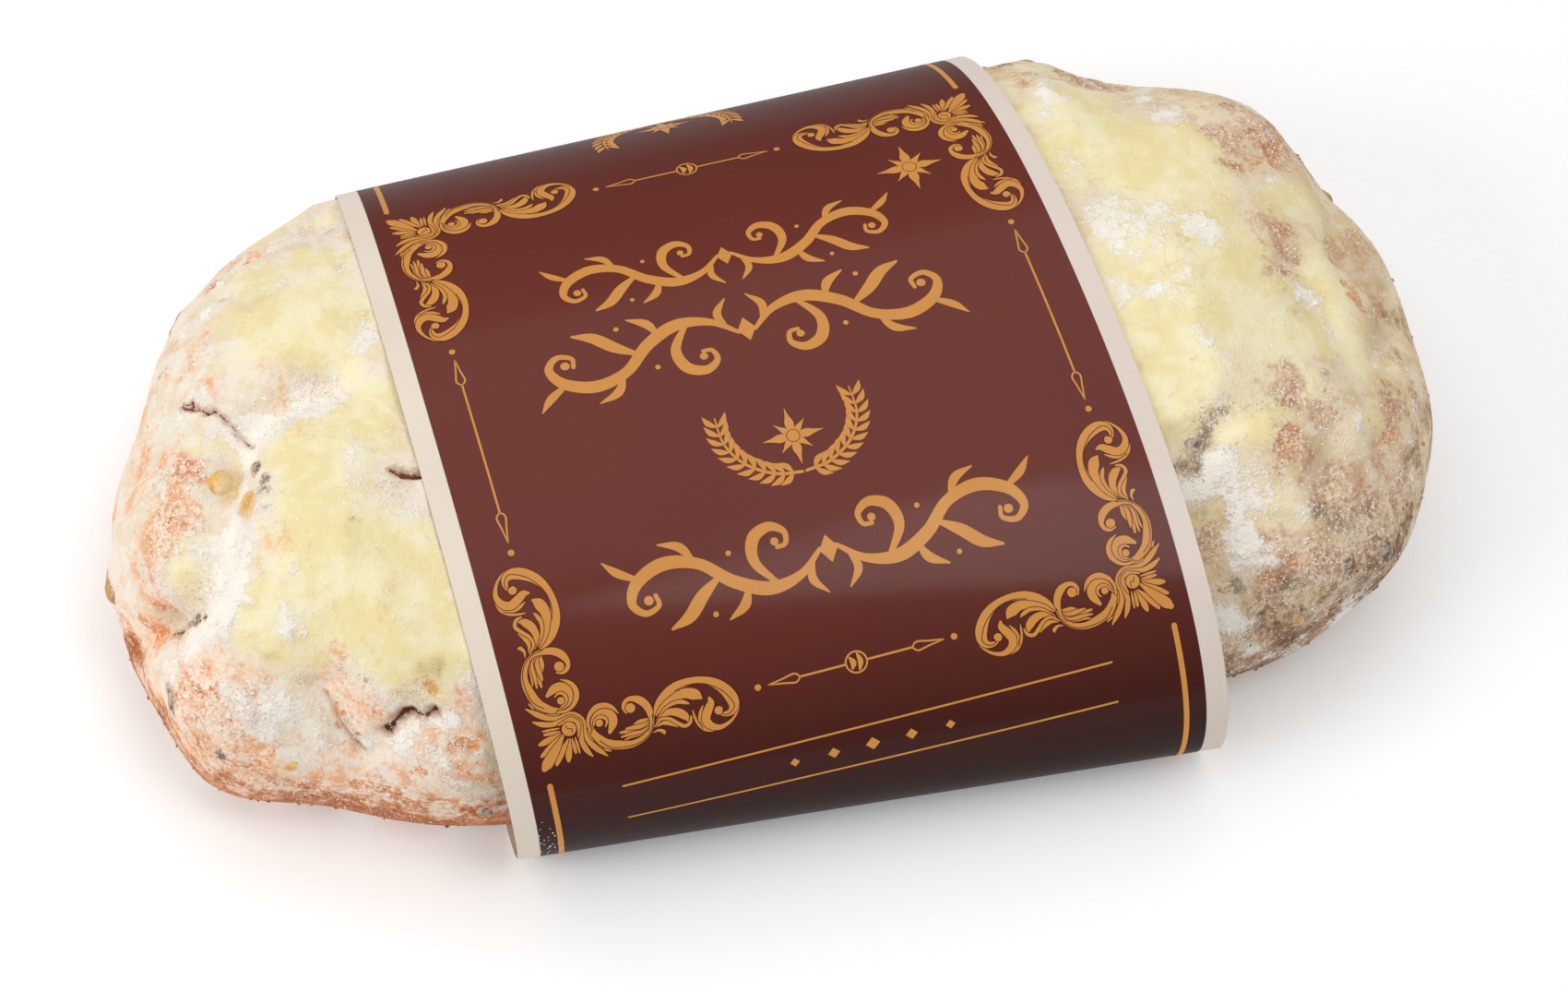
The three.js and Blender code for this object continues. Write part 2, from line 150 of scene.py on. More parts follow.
def smooth_loaf(turn, rise):
    """Points of the plain loaf. turn is 0..1 round it; rise is 0 at the widest level, 1 at the
    crown and -1 at the base."""
    turn, rise = np.broadcast_arrays(np.asarray(turn, float), np.asarray(rise, float))
    outline = outline_at(turn)
    foot_x = np.clip(outline[..., 0], *CROWN_X)
    dx = outline[..., 0] - foot_x
    dy = outline[..., 1] - CROWN_Y
    end_share = dx ** 2 / (dx ** 2 + dy ** 2)
    end_waist = np.where(dx > 0, RIGHT_SIDE[0], LEFT_SIDE[0])
    end_square = np.where(dx > 0, RIGHT_SIDE[1], LEFT_SIDE[1])
    waist = lerp(np.where(dy > 0, BACK_SIDE[0], FRONT_SIDE[0]), end_waist, end_share)
    squareness = lerp(np.where(dy > 0, BACK_SIDE[1], FRONT_SIDE[1]), end_square, end_share)
    top = lerp(*CROWN_TOP, (foot_x - CROWN_X[0]) / (CROWN_X[1] - CROWN_X[0]))
    angle = np.abs(rise) * QUARTER_TURN
    cosine = np.maximum(np.cos(angle), 0)
    above = rise >= 0
    reach = np.where(above, cosine ** (2 / squareness), 1 - BASE_INSET * (1 - cosine))
    upper = waist + (top - waist) * np.sin(angle) ** (2 / squareness)
    lower = LOAF_BASE + (waist - LOAF_BASE) * (1 - np.sin(angle))
    z = np.where(above, upper, lower)
    return np.stack([foot_x + reach * dx, CROWN_Y + reach * dy, z], -1)


def loaf_normal(turn, rise):
    low = np.maximum(rise - NORMAL_STEP, -NORMAL_LIMIT)
    high = np.minimum(rise + NORMAL_STEP, NORMAL_LIMIT)
    around = smooth_loaf(turn + NORMAL_STEP, rise) - smooth_loaf(turn - NORMAL_STEP, rise)
    up = smooth_loaf(turn, high) - smooth_loaf(turn, low)
    normal = np.cross(around, up)
    return normal / length_of(normal)[..., None]


# Lumps are waves in directions spread by the golden angle, so that none repeats another.
LUMPS = {"count": 9, "longest": 74, "shortest": 21, "height": 0.5, "falloff": 0.35}
GOLDEN_ANGLE = 2.39996
# Swells and hollows: turn, rise, radius, height.
SWELLS = [
    (0.465, 0.28, 5, 1.6), (0.448, 0.31, 6, 1.2), (0.415, 0.17, 6, 1.3),
    (0.425, 0.38, 10, 1.0), (0.478, 0.50, 13, 1.6), (0.508, 0.45, 13, 2.2),
    (0.530, 0.70, 11, 1.3), (0.400, 0.66, 16, 1.6), (0.640, 0.55, 14, 1.6),
    (0.670, 0.21, 6, 1.6), (0.600, 0.20, 12, 1.0), (0.579, 0.81, 4, 0.9),
    (0.600, 0.87, 5, 0.8), (0.159, 0.33, 8, 1.5), (0.115, 0.30, 12, 1.0),
    (0.060, 0.45, 13, 1.3), (0.868, 0.60, 12, 2.2), (0.845, 0.36, 10, 1.2),
    (0.880, 0.25, 8, 1.2), (0.835, 0.14, 8, -1.4), (0.965, 0.20, 12, 0.8),
    (0.300, 0.30, 12, 1.2), (0.220, 0.34, 14, 1.3), (0.190, 0.12, 9, -1.3),
    (0.340, 0.14, 9, -1.3),
]
# Furrows: width, height (negative goes in), and the places that they run through.
FURROWS = [
    # End lobe fold
    (4.2, -3.6, [
        (0.401, 0.807), (0.449, 0.70), (0.466, 0.667), (0.491, 0.66), (0.517, 0.627),
        (0.534, 0.587), (0.541, 0.40), (0.532, 0.29),
    ]),
    # End of the lobe fold, running out to the side
    (3.2, -2.6, [(0.532, 0.29), (0.529, 0.20)]),
    (3.0, -1.5, [(0.529, 0.20), (0.524, 0.08)]),
    # Front flake step
    (3.4, -1.7, [
        (0.616, 0.41), (0.627, 0.32), (0.636, 0.23), (0.643, 0.30), (0.655, 0.385),
    ]),
    # Right rim crease
    (4.2, -2.2, [
        (0.075, 0.28), (0.030, 0.287), (0.990, 0.44), (0.975, 0.333), (0.957, 0.327),
        (0.940, 0.40),
    ]),
    # Right end long crease
    (4.2, -1.4, [(0.985, 0.60), (0.960, 0.58), (0.930, 0.50), (0.905, 0.38)]),
    # Right lump crease
    (3.8, -1.9, [
        (0.834, 0.66), (0.848, 0.66), (0.869, 0.687), (0.884, 0.66), (0.889, 0.607),
        (0.894, 0.527), (0.875, 0.453),
    ]),
    # Back long crease
    (4.6, -1.8, [(0.330, 0.42), (0.365, 0.36), (0.395, 0.30), (0.420, 0.20)]),
    # Back right crease
    (4.6, -1.6, [(0.190, 0.36), (0.150, 0.40), (0.120, 0.34)]),
]
# Cracks: depth, then turn, rise and half width at each place that they run through.
CRACKS = [
    # Lobe crack
    (2.6, [
        (0.448, 0.480, 0.10), (0.448, 0.507, 0.30), (0.449, 0.527, 0.38), (0.450, 0.540, 0.10),
        (0.451, 0.553, 0.06), (0.452, 0.573, 0.34), (0.4515, 0.590, 0.08), (0.454, 0.607, 0.0),
        (0.456, 0.620, 0.12), (0.458, 0.633, -0.05), (0.462, 0.647, -0.1), (0.466, 0.667, -0.05),
        (0.468, 0.680, 0.0),
    ]),
    (1.6, [(0.4445, 0.503, 0.26), (0.4475, 0.512, 0.30)]),
    # Sleeve slit
    (3.0, [
        (0.530, 0.932, 0.10), (0.537, 0.937, 0.25), (0.549, 0.941, 0.42), (0.562, 0.946, 0.50),
        (0.576, 0.949, 0.42), (0.590, 0.952, 0.40),
    ]),
    # Front tear
    (3.2, [
        (0.6425, 0.312, 0.35), (0.6445, 0.314, 0.75), (0.646, 0.327, 0.50), (0.647, 0.347, 0.20),
        (0.649, 0.367, 0.45), (0.651, 0.380, 0.62), (0.654, 0.387, 0.38), (0.656, 0.380, 0.16),
        (0.659, 0.379, 0.16), (0.661, 0.387, 0.26), (0.663, 0.399, 0.38), (0.6645, 0.387, 0.14),
    ]),
    # Left hole
    (2.6, [
        (0.536, 0.350, 0.24), (0.5375, 0.333, 0.6), (0.5375, 0.307, 0.95), (0.5365, 0.283, 0.4),
        (0.535, 0.260, 0.1), (0.532, 0.213, 0.08),
    ]),
    # Edge of the front flake
    (2.0, [
        (0.617, 0.400, -0.4), (0.621, 0.360, -0.35), (0.6245, 0.325, -0.4), (0.6285, 0.285, -0.2),
        (0.633, 0.250, 0.02), (0.636, 0.232, -0.15),
    ]),
    # Edge of the raisin in the hollow
    (1.6, [(0.5405, 0.375, 0.12), (0.542, 0.407, 0.34), (0.5445, 0.422, 0.10)]),
    (1.4, [(0.5452, 0.437, 0.10), (0.546, 0.450, 0.28)]),
    # Back tear
    (3.0, [(0.372, 0.30, 0.20), (0.384, 0.33, 0.60), (0.391, 0.326, 0.30), (0.398, 0.32, 0.50)]),
]


def lump_height(points):
    height = np.zeros(points.shape[:-1])
    for i in range(LUMPS["count"]):
        tilt = 1 - 2 * (i + 0.5) / LUMPS["count"]
        flat = math.sqrt(1 - tilt * tilt)
        heading = (flat * math.cos(GOLDEN_ANGLE * i), flat * math.sin(GOLDEN_ANGLE * i), tilt)
        share = i / (LUMPS["count"] - 1)
        spacing = LUMPS["longest"] * (LUMPS["shortest"] / LUMPS["longest"]) ** share
        strength = LUMPS["height"] * (spacing / LUMPS["longest"]) ** LUMPS["falloff"]
        height += strength * np.sin(FULL_TURN * (points @ heading) / spacing + GOLDEN_ANGLE * i * i)
    return height


def distance_to_path(points, path):
    best = np.full(points.shape[:-1], np.inf)
    for start, end in zip(path[:-1], path[1:]):
        along = end - start
        share = np.clip(((points - start) @ along) / (along @ along), 0, 1)
        best = np.minimum(best, length_of(points - start - share[..., None] * along))
    return best


def places(path):
    return np.array([smooth_loaf(turn, rise) for turn, rise in path])


def relief_at(points):
    height = lump_height(points)
    for turn, rise, radius, swell in SWELLS:
        height += swell * hill(length_of(points - smooth_loaf(turn, rise)), radius)
    for width, furrow, path in FURROWS:
        height += furrow * hill(distance_to_path(points, places(path)), width)
    foot_low, foot_high = RELIEF_FOOT
    return height * soft_step(points[..., 2], LOAF_BASE + foot_low, LOAF_BASE + foot_high)


# ---- the sleeve's form
SLEEVE_X = (-66.0, 62.0)
SLEEVE_MIDDLE = -2.0
# Top height, then half width, widest level, squareness and inset of the front and the back.
SLEEVE_LEFT = (56.0, (61.6, 20, 2.0, 0.2), (82.7, 8, 2.35, 0.12))
SLEEVE_RIGHT = (54.2, (76.3, 14, 2.15, 0.2), (82.3, 8, 2.2, 0.12))
TUCK_MARGIN = 2
TUCK_RELEASE = 62
# A walk round the sleeve stays this short of a whole turn, which would be the crown again.
HAIR = 1e-9


def sleeve_section(x, backward):
    along = np.clip((x - SLEEVE_X[0]) / (SLEEVE_X[1] - SLEEVE_X[0]), 0, 1)
    sides = [
        lerp(np.where(backward, SLEEVE_LEFT[2][i], SLEEVE_LEFT[1][i]),
             np.where(backward, SLEEVE_RIGHT[2][i], SLEEVE_RIGHT[1][i]), along)
        for i in range(4)
    ]
    return lerp(SLEEVE_LEFT[0], SLEEVE_RIGHT[0], along), *sides


def sleeve_point(x, angle, inward):
    """angle 0 is the crown, a quarter turn the back fold, half a turn the middle underneath."""
    backward = angle < math.pi
    top, half_width, waist, squareness, inset = sleeve_section(x, backward)
    from_top = np.where(backward, angle, FULL_TURN - angle)
    out = np.where(backward, 1, -1) * (half_width - inward)
    sine = np.maximum(np.sin(from_top), 0)
    cosine = np.maximum(np.cos(from_top), 0)
    under = 2 * (from_top - QUARTER_TURN) / QUARTER_TURN
    bend = np.clip(under, 0, 1) * QUARTER_TURN
    above = from_top <= QUARTER_TURN
    reach_above = sine ** (2 / squareness)
    z_above = waist + (top - inward - waist) * cosine ** (2 / squareness)
    reach_below = (1 - inset * (1 - np.cos(bend))) * (1 - np.maximum(under - 1, 0))
    z_below = inward + (waist - inward) * (1 - np.sin(bend))
    reach = np.where(above, reach_above, reach_below)
    return np.stack([x, CROWN_Y + out * reach, np.where(above, z_above, z_below)], -1)


def tuck_under_sleeve(points, inward):
    """Keeps loaf points inside the sleeve, and eases them out again past its edges."""
    x, y, z = points[..., 0], points[..., 1], points[..., 2]
    free = np.maximum(np.maximum(SLEEVE_X[0] - x, x - SLEEVE_X[1]), TUCK_MARGIN) - TUCK_MARGIN
    limit = 1 + (free / TUCK_RELEASE) ** 2
    top, half_width, waist, squareness, _ = sleeve_section(x, y > CROWN_Y)
    across = np.abs(y - CROWN_Y) / (half_width - inward)
    above = np.maximum(z - waist, 0) / (top - inward - waist)
    size = (across ** squareness + above ** squareness) ** (1 / squareness)
    shrink = np.where(size > limit, limit / size, 1)
    y = CROWN_Y + (y - CROWN_Y) * shrink
    z = np.where(z > waist, waist + (z - waist) * shrink, z)
    return np.stack([x, y, z], -1)


# ---- materials as expressions
class Wire:
    """One output of a material's or a node group's tree, that reads as a number in sums."""

    def __init__(self, tree, socket=None):
        self.tree = tree
        self.socket = socket

    def make(self, kind, settings=(), inputs=(), output=0):
        node = self.tree.nodes.new(kind)
        for name, value in dict(settings).items():
            setattr(node, name, value)
        for name, value in dict(inputs).items():
            if isinstance(value, Wire):
                self.tree.links.new(value.socket, node.inputs[name])
            else:
                node.inputs[name].default_value = value
        return Wire(self.tree, None if output is None else node.outputs[output])

    def maths(self, operation, *values):
        return self.make("ShaderNodeMath", {"operation": operation}, enumerate(values))

    def __add__(self, other):
        return self.maths("ADD", self, other)

    def __radd__(self, other):
        return self.maths("ADD", other, self)

    def __sub__(self, other):
        return self.maths("SUBTRACT", self, other)

    def __rsub__(self, other):
        return self.maths("SUBTRACT", other, self)

    def __mul__(self, other):
        return self.maths("MULTIPLY", self, other)

    def __rmul__(self, other):
        return self.maths("MULTIPLY", other, self)

    def __abs__(self):
        return self.maths("ABSOLUTE", self)

    def step(self, low, high):
        """0 below low and 1 above high, with a soft slope between."""
        settings = {"interpolation_type": "SMOOTHSTEP"}
        return self.make("ShaderNodeMapRange", settings, {0: self, 1: low, 2: high, 3: 0, 4: 1})

    def blend(self, a, b):
        """Colour a where this is 0 and colour b where it is 1."""
        return self.make("ShaderNodeMix", {"data_type": "RGBA"}, {0: self, 6: a, 7: b}, 2)

    def part(self, axis):
        """One of the three numbers of a place: X, Y or Z."""
        return self.make("ShaderNodeSeparateXYZ", {}, {0: self}, axis)

    def noise(self, spacing, detail=2.0, roughness=0.5):
        """Noise of about 0.3..0.7 over this place, with bumps about spacing millimetres apart."""
        inputs = {"Vector": self, "Scale": 1 / (spacing * MM), "Detail": detail, "Roughness": roughness}
        return self.make("ShaderNodeTexNoise", {}, inputs)

    def scattered(self, spacing):
        """Distance to the nearest of many scattered points, in shares of their spacing, and that
        point's own random number of 0..1."""
        away = self.make("ShaderNodeTexVoronoi", {}, {"Vector": self, "Scale": 1 / (spacing * MM)})
        tint = Wire(self.tree, away.socket.node.outputs["Color"])
        return away, self.make("ShaderNodeSeparateColor", {}, {0: tint}, 0)

    def mark(self, name):
        """A number kept on the mesh's points."""
        return self.make("ShaderNodeAttribute", {"attribute_name": name}, {}, "Fac")

    def bump(self, strength=1.0):
        """The shading of a surface that stands out by this many millimetres."""
        return self.make("ShaderNodeBump", {}, {"Strength": strength, "Distance": MM, "Height": self})


def colour(red, green, blue):
    """A colour given in display values of 0..255."""
    values = np.array([red, green, blue]) / 255
    linear = np.where(values <= 0.04045, values / 12.92, ((values + 0.055) / 1.055) ** 2.4)
    return (*linear.tolist(), 1.0)


def new_material(name, build, **constants):
    """build(place) gives the sockets that vary; constants go on the shader itself."""
    material = bpy.data.materials.new(name)
    material.use_nodes = True
    tree = material.node_tree
    tree.nodes.clear()
    place = Wire(tree).make("ShaderNodeTexCoord", {}, {}, "Object")
    inputs = {**constants, **build(place)}
    shader = place.make("ShaderNodeBsdfPrincipled", {}, inputs, "BSDF")
    place.make("ShaderNodeOutputMaterial", {}, {"Surface": shader}, None)
    return material


# ---- meshes and pieces
def in_scene(name, data):
    thing = bpy.data.objects.new(name, data)
    bpy.context.scene.collection.objects.link(thing)
    return thing


def finished(name, mesh, replaced=()):
    """A finished object that rides the only body and stands for the solids it replaces."""
    piece = in_scene(name, mesh)
    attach(piece, "root")
    if replaced:
        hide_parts(*replaced)
    return piece


def new_piece(name, points, faces, materials, replaced=(), face_materials=None, marks=None):
    """A finished object from the maker's millimetres, with numbers kept on its points."""
    mesh = bpy.data.meshes.new(name)
    mesh.from_pydata((points + CENTRING) * MM, [], faces)
    for material in materials:
        mesh.materials.append(material)
    mesh.polygons.foreach_set("use_smooth", np.ones(len(faces), bool))
    if face_materials is not None:
        mesh.polygons.foreach_set("material_index", np.asarray(face_materials, np.int32))
    for mark, values in (marks or {}).items():
        layer = mesh.attributes.new(mark, "FLOAT", "POINT")
        layer.data.foreach_set("value", np.asarray(values, np.float32))
    mesh.update()
    return finished(name, mesh, replaced)


def ring_faces(rings, columns, closed=False):
    """Quads between rings of points, each ring running once round."""
    faces = []
    for ring in range(rings if closed else rings - 1):
        here = ring * columns
        there = ((ring + 1) % rings) * columns
        for column in range(columns):
            after = (column + 1) % columns
            faces.append((here + column, there + column, there + after, here + after))
    return faces


def capped_faces(rings, columns):
    """The same, closed by one point at each end, which are the last two points."""
    faces = ring_faces(rings, columns)
    first_pole = rings * columns
    last = first_pole - columns
    for column in range(columns):
        after = (column + 1) % columns
        faces.append((first_pole, column, after))
        faces.append((first_pole + 1, last + after, last + column))
    return faces


# ---- where the fruit sits
# Each piece: place, length, width and thickness, how far it stands out of the crust, and its turn
# round the crust's normal in degrees.
FRUIT = [
    ("sultana_left_end", (0.500, 0.09), (10, 6, 6), 2.2, 80),
    ("sultana_back_right", (0.157, 0.25), (11, 7, 6), 0.9, 10),
    ("sultana_right_end", (0.030, 0.14), (9, 6, 5.5), 1.1, 20),
    ("raisin_left_fold", (0.487, 0.71), (5.5, 3.8, 4), 0.6, 95),
    ("raisin_left_hollow", (0.542, 0.385), (9, 5, 5), 0.6, 20),
    ("raisin_left_side", (0.558, 0.187), (8, 5.5, 5), 0.8, 70),
    ("raisin_left_low", (0.586, 0.147), (7, 5.5, 5), 0.9, 15),
    ("raisin_front_low", (0.676, -0.03), (8, 6.5, 5), 1.0, 25),
    ("raisin_right_low", (0.876, 0.17), (9, 6.5, 6), 1.2, 65),
    ("raisin_right_side", (0.859, 0.24), (7, 5, 4.5), 0.7, 10),
    ("raisin_right_crown", (0.839, 0.633), (8, 5, 4.5), 0.5, 120),
    ("raisin_back_left", (0.392, 0.16), (8, 6, 5), 1.0, 35),
    ("raisin_back_right", (0.118, 0.14), (8.5, 6, 5), 1.0, 75),
    ("peel_left_lobe", (0.490, 0.60), (7, 6, 4.5), 0.8, 10),
    ("peel_left_crown", (0.510, 0.69), (6.5, 5.5, 4), 0.7, 50),
    ("peel_left_low", (0.609, 0.133), (7.5, 5, 4), 0.7, 5),
    ("peel_right_low", (0.842, 0.10), (6.5, 5, 4.5), 0.8, 20),
    ("peel_back_left", (0.425, 0.10), (7, 5.5, 4.5), 0.9, 60),
]
# How far each kind stands out of the sugar that has piled up round it.
FRUIT_SHOWING = {"raisin": 0.36, "sultana": 0.8, "peel": 0.14}
PILE_REACH = 1.5


def kind_of(name):
    return name.split("_")[0]


# ---- patches on the crust
# Turn in thousandths, rise in hundredths, radius in tenths of a millimetre and amount in tenths.
PATCHES = {
    "butter": [
        (375, 70, 84, 7), (394, 65, 67, 5), (357, 69, 59, 6), (386, 87, 30, 10), (424, 86, 49, 8),
        (444, 89, 49, 8), (475, 85, 49, 9), (492, 81, 49, 9), (480, 75, 26, 8), (533, 81, 64, 8),
        (601, 75, 64, 6), (624, 76, 56, 7), (567, 73, 56, 5), (571, 63, 45, 6), (565, 56, 32, 7),
        (582, 52, 32, 6), (620, 57, 55, 8), (639, 64, 55, 8), (649, 55, 47, 9), (663, 56, 39, 9),
        (666, 51, 25, 9), (644, 47, 32, 4), (370, 50, 52, 5), (346, 56, 43, 5), (337, 63, 34, 6),
        (337, 26, 36, 6), (349, 26, 36, 5), (327, 39, 27, 6), (342, 76, 33, 7), (364, 81, 25, 6),
        (652, 68, 40, 6), (527, 51, 29, 7), (517, 58, 13, 8), (504, 57, 16, 6), (470, 61, 33, 5),
        (478, 64, 20, 4), (658, 47, 19, 4), (144, 58, 53, 9), (171, 61, 27, 8), (130, 48, 36, 9),
        (131, 68, 70, 10), (101, 69, 70, 10), (77, 69, 70, 9), (154, 77, 35, 7), (96, 78, 35, 9),
        (57, 71, 44, 9), (32, 74, 35, 8), (998, 71, 51, 6), (975, 83, 59, 9), (963, 89, 42, 7),
        (953, 75, 68, 9), (875, 87, 58, 10), (880, 81, 58, 10), (844, 75, 49, 10), (853, 72, 33, 9),
        (889, 91, 30, 9), (926, 71, 51, 8), (914, 65, 34, 6), (936, 61, 34, 8), (22, 51, 44, 8),
        (5, 45, 35, 8), (985, 55, 43, 7), (964, 53, 35, 7), (949, 52, 31, 7), (904, 58, 25, 8),
        (937, 47, 34, 7), (911, 45, 24, 7), (873, 65, 41, 10), (857, 62, 30, 10), (880, 61, 30, 8),
        (993, 78, 34, 7), (854, 47, 37, 6), (827, 51, 23, 5), (80, 93, 17, 6), (40, 88, 70, 7),
        (975, 93, 60, 7), (12, 92, 60, 6), (60, 79, 60, 6),
    ],
    "powder": [
        (444, 55, 17, 8), (442, 50, 14, 7), (457, 64, 20, 10), (455, 67, 17, 9), (472, 69, 23, 10),
        (485, 67, 20, 10), (462, 72, 23, 10), (453, 74, 20, 9), (440, 77, 16, 9), (425, 80, 16, 9),
        (440, 79, 20, 8), (400, 81, 17, 5), (499, 66, 15, 9), (516, 65, 16, 10), (530, 61, 13, 8),
        (538, 57, 13, 7), (526, 66, 13, 6), (538, 63, 16, 9), (550, 61, 19, 10), (555, 55, 19, 10),
        (556, 49, 21, 10), (552, 41, 20, 9), (563, 46, 19, 9), (529, 41, 10, 5), (533, 27, 10, 5),
        (511, -100, 16, 7), (575, 67, 13, 6), (585, 63, 11, 6), (590, 58, 19, 9), (601, 55, 11, 6),
        (496, 89, 19, 8), (483, 91, 13, 6), (536, 89, 23, 5), (606, 87, 13, 10), (470, 96, 13, 5),
        (390, 79, 13, 5), (367, 81, 13, 5), (351, 79, 17, 9), (341, 79, 13, 8), (577, 79, 6, 7),
        (601, 63, 14, 4), (445, 40, 14, 7), (454, 47, 17, 7), (460, 37, 14, 5), (487, 40, 13, 4),
        (438, 33, 14, 6), (460, 45, 17, 6), (502, 37, 13, 4), (372, 39, 18, 7), (381, 43, 17, 8),
        (391, 45, 16, 8), (400, 44, 16, 8), (408, 41, 16, 7), (412, 38, 14, 6), (420, 36, 12, 5),
        (418, 50, 9, 4), (323, 45, 14, 8), (361, 57, 14, 7), (353, 59, 14, 5), (334, 64, 14, 6),
        (370, 49, 14, 4), (390, 49, 14, 5), (342, 64, 14, 4), (359, 84, 10, 5), (585, 31, 23, 6),
        (596, 29, 29, 6), (600, 35, 32, 5), (577, 32, 13, 6), (554, 36, 23, 6), (550, 28, 20, 6),
        (616, 29, 26, 6), (614, 17, 26, 5), (620, 26, 19, 5), (638, 28, 16, 9), (634, 29, 10, 6),
        (652, 32, 22, 9), (649, 29, 19, 8), (658, 36, 19, 8), (663, 35, 16, 8), (670, 37, 19, 7),
        (668, 40, 13, 7), (638, 15, 13, 7), (631, 17, 13, 6), (628, -100, 10, 6), (663, 26, 19, 8),
        (668, 23, 16, 8), (671, 19, 19, 7), (671, 28, 11, 8), (677, 29, 13, 5), (607, 6, 16, 6),
        (614, 7, 16, 5), (609, 47, 19, 3), (628, 49, 19, 5), (638, 49, 13, 5), (647, 37, 10, 6),
        (577, 18, 16, 5), (565, 18, 13, 6), (556, 12, 10, 5), (617, -22, 8, 4), (652, -8, 10, 4),
        (675, 47, 16, 5), (677, 49, 16, 5), (154, 54, 29, 10), (147, 46, 22, 9), (144, 56, 18, 8),
        (161, 60, 18, 7), (110, 46, 22, 9), (101, 53, 21, 9), (114, 37, 18, 8), (94, 52, 22, 8),
        (86, 55, 18, 5), (146, 74, 24, 4), (134, 76, 24, 5), (100, 85, 38, 7), (81, 87, 27, 6),
        (54, 81, 21, 8), (52, 83, 14, 6), (23, 78, 24, 10), (17, 76, 21, 9), (15, 80, 14, 7),
        (20, 89, 14, 8), (20, 87, 14, 7), (956, 89, 15, 9), (938, 90, 13, 8), (944, 87, 23, 5),
        (13, 96, 24, 5), (999, 93, 20, 5), (915, 93, 20, 4), (911, 82, 17, 4), (904, 79, 17, 6),
        (890, 75, 17, 5), (870, 71, 20, 5), (854, 70, 17, 5), (966, 61, 14, 9), (962, 59, 15, 8),
        (950, 57, 14, 4), (943, 55, 14, 5), (32, 55, 12, 6), (911, 49, 17, 9), (904, 47, 20, 9),
        (900, 45, 14, 7), (948, 40, 12, 7), (941, 40, 10, 7), (943, 33, 12, 9), (937, 29, 14, 6),
        (926, 27, 14, 6), (916, 26, 14, 5), (837, 67, 15, 8), (834, 65, 13, 7), (837, 59, 20, 7),
        (839, 57, 26, 9), (830, 56, 23, 9), (825, 55, 16, 8), (846, 59, 20, 6), (846, 55, 20, 5),
        (836, 44, 20, 6), (836, 39, 27, 8), (836, 35, 20, 7), (830, 36, 17, 6), (830, 29, 13, 5),
        (857, 42, 17, 9), (856, 39, 17, 9), (856, 36, 13, 6), (894, 46, 17, 5), (822, 23, 20, 10),
        (825, 18, 20, 10), (827, 13, 17, 6), (830, 13, 13, 5), (848, 22, 10, 8), (853, 11, 10, 5),
        (866, 35, 13, 4), (870, 30, 13, 5), (908, 36, 10, 4), (906, 33, 10, 5), (110, 37, 15, 5),
        (937, 66, 15, 5), (465, 64, 34, 8), (454, 68, 34, 8), (442, 73, 30, 8), (428, 77, 28, 7),
        (410, 81, 22, 6), (495, 68, 26, 8), (520, 63, 28, 9), (524, 57, 26, 6), (538, 56, 30, 9),
        (536, 61, 26, 9), (550, 53, 30, 9), (547, 48, 34, 9), (549, 39, 28, 8), (545, 25, 22, 6),
        (57, 86, 30, 6), (16, 86, 34, 6), (51, 91, 26, 6), (22, 78, 26, 6), (969, 85, 22, 5),
        (958, 94, 22, 6), (933, 89, 24, 5), (849, 50, 36, 5), (840, 47, 30, 6), (905, 22, 26, 5),
        (862, 14, 24, 5), (842, 20, 20, 5), (893, 36, 20, 4),
    ],
    "peach": [
        (443, 49, 17, 7), (437, 56, 24, 8), (433, 45, 17, 7), (424, 47, 20, 6), (412, 47, 21, 6),
        (434, 32, 14, 8), (419, 19, 14, 7), (361, 23, 29, 8), (357, 33, 25, 7), (356, 44, 25, 5),
        (375, 27, 18, 8), (387, 38, 17, 8), (401, 38, 21, 6), (408, 35, 17, 6), (416, 71, 37, 4),
        (434, 70, 23, 4), (469, 80, 26, 4), (467, 35, 24, 8), (481, 37, 24, 8), (474, 47, 27, 8),
        (485, 51, 23, 8), (480, 55, 20, 7), (502, 48, 36, 9), (508, 49, 30, 9), (511, 43, 30, 8),
        (512, 31, 27, 8), (521, 32, 27, 9), (521, 20, 27, 9), (505, 32, 20, 7), (493, 31, 20, 7),
        (465, 51, 13, 6), (452, 39, 14, 7), (507, 11, 20, 8), (518, 11, 20, 8), (532, 16, 23, 8),
        (557, 30, 36, 8), (569, 32, 36, 9), (572, 39, 26, 7), (584, 38, 32, 5), (590, 21, 33, 8),
        (601, 19, 29, 8), (570, 22, 29, 8), (581, 27, 26, 6), (624, 42, 32, 6), (630, 37, 32, 7),
        (636, 40, 29, 6), (607, 42, 22, 4), (619, 51, 16, 5), (666, 33, 25, 7), (673, 43, 22, 7),
        (673, 35, 25, 8), (658, 28, 22, 6), (649, 22, 23, 7), (631, 24, 19, 6), (548, 70, 22, 3),
        (610, 63, 16, 3), (644, 39, 19, 7), (622, 13, 26, 6), (638, 8, 33, 9), (652, 15, 29, 9),
        (668, 24, 29, 8), (677, 21, 26, 9), (610, 2, 23, 9), (594, 10, 26, 9), (582, 13, 26, 9),
        (569, 13, 23, 9), (551, 9, 23, 9), (541, 11, 17, 9), (526, 11, 20, 8), (59, 57, 28, 6),
        (70, 57, 25, 5), (127, 30, 33, 7), (166, 48, 22, 7), (134, 30, 26, 6), (55, 48, 36, 8),
        (46, 41, 29, 9), (69, 45, 22, 7), (13, 63, 28, 6), (1, 62, 28, 7), (988, 64, 24, 7),
        (982, 67, 21, 5), (995, 49, 28, 4), (985, 45, 28, 5), (976, 41, 26, 6), (969, 36, 21, 7),
        (0, 41, 25, 6), (991, 37, 21, 7), (960, 39, 21, 5), (952, 32, 21, 6), (907, 64, 24, 6),
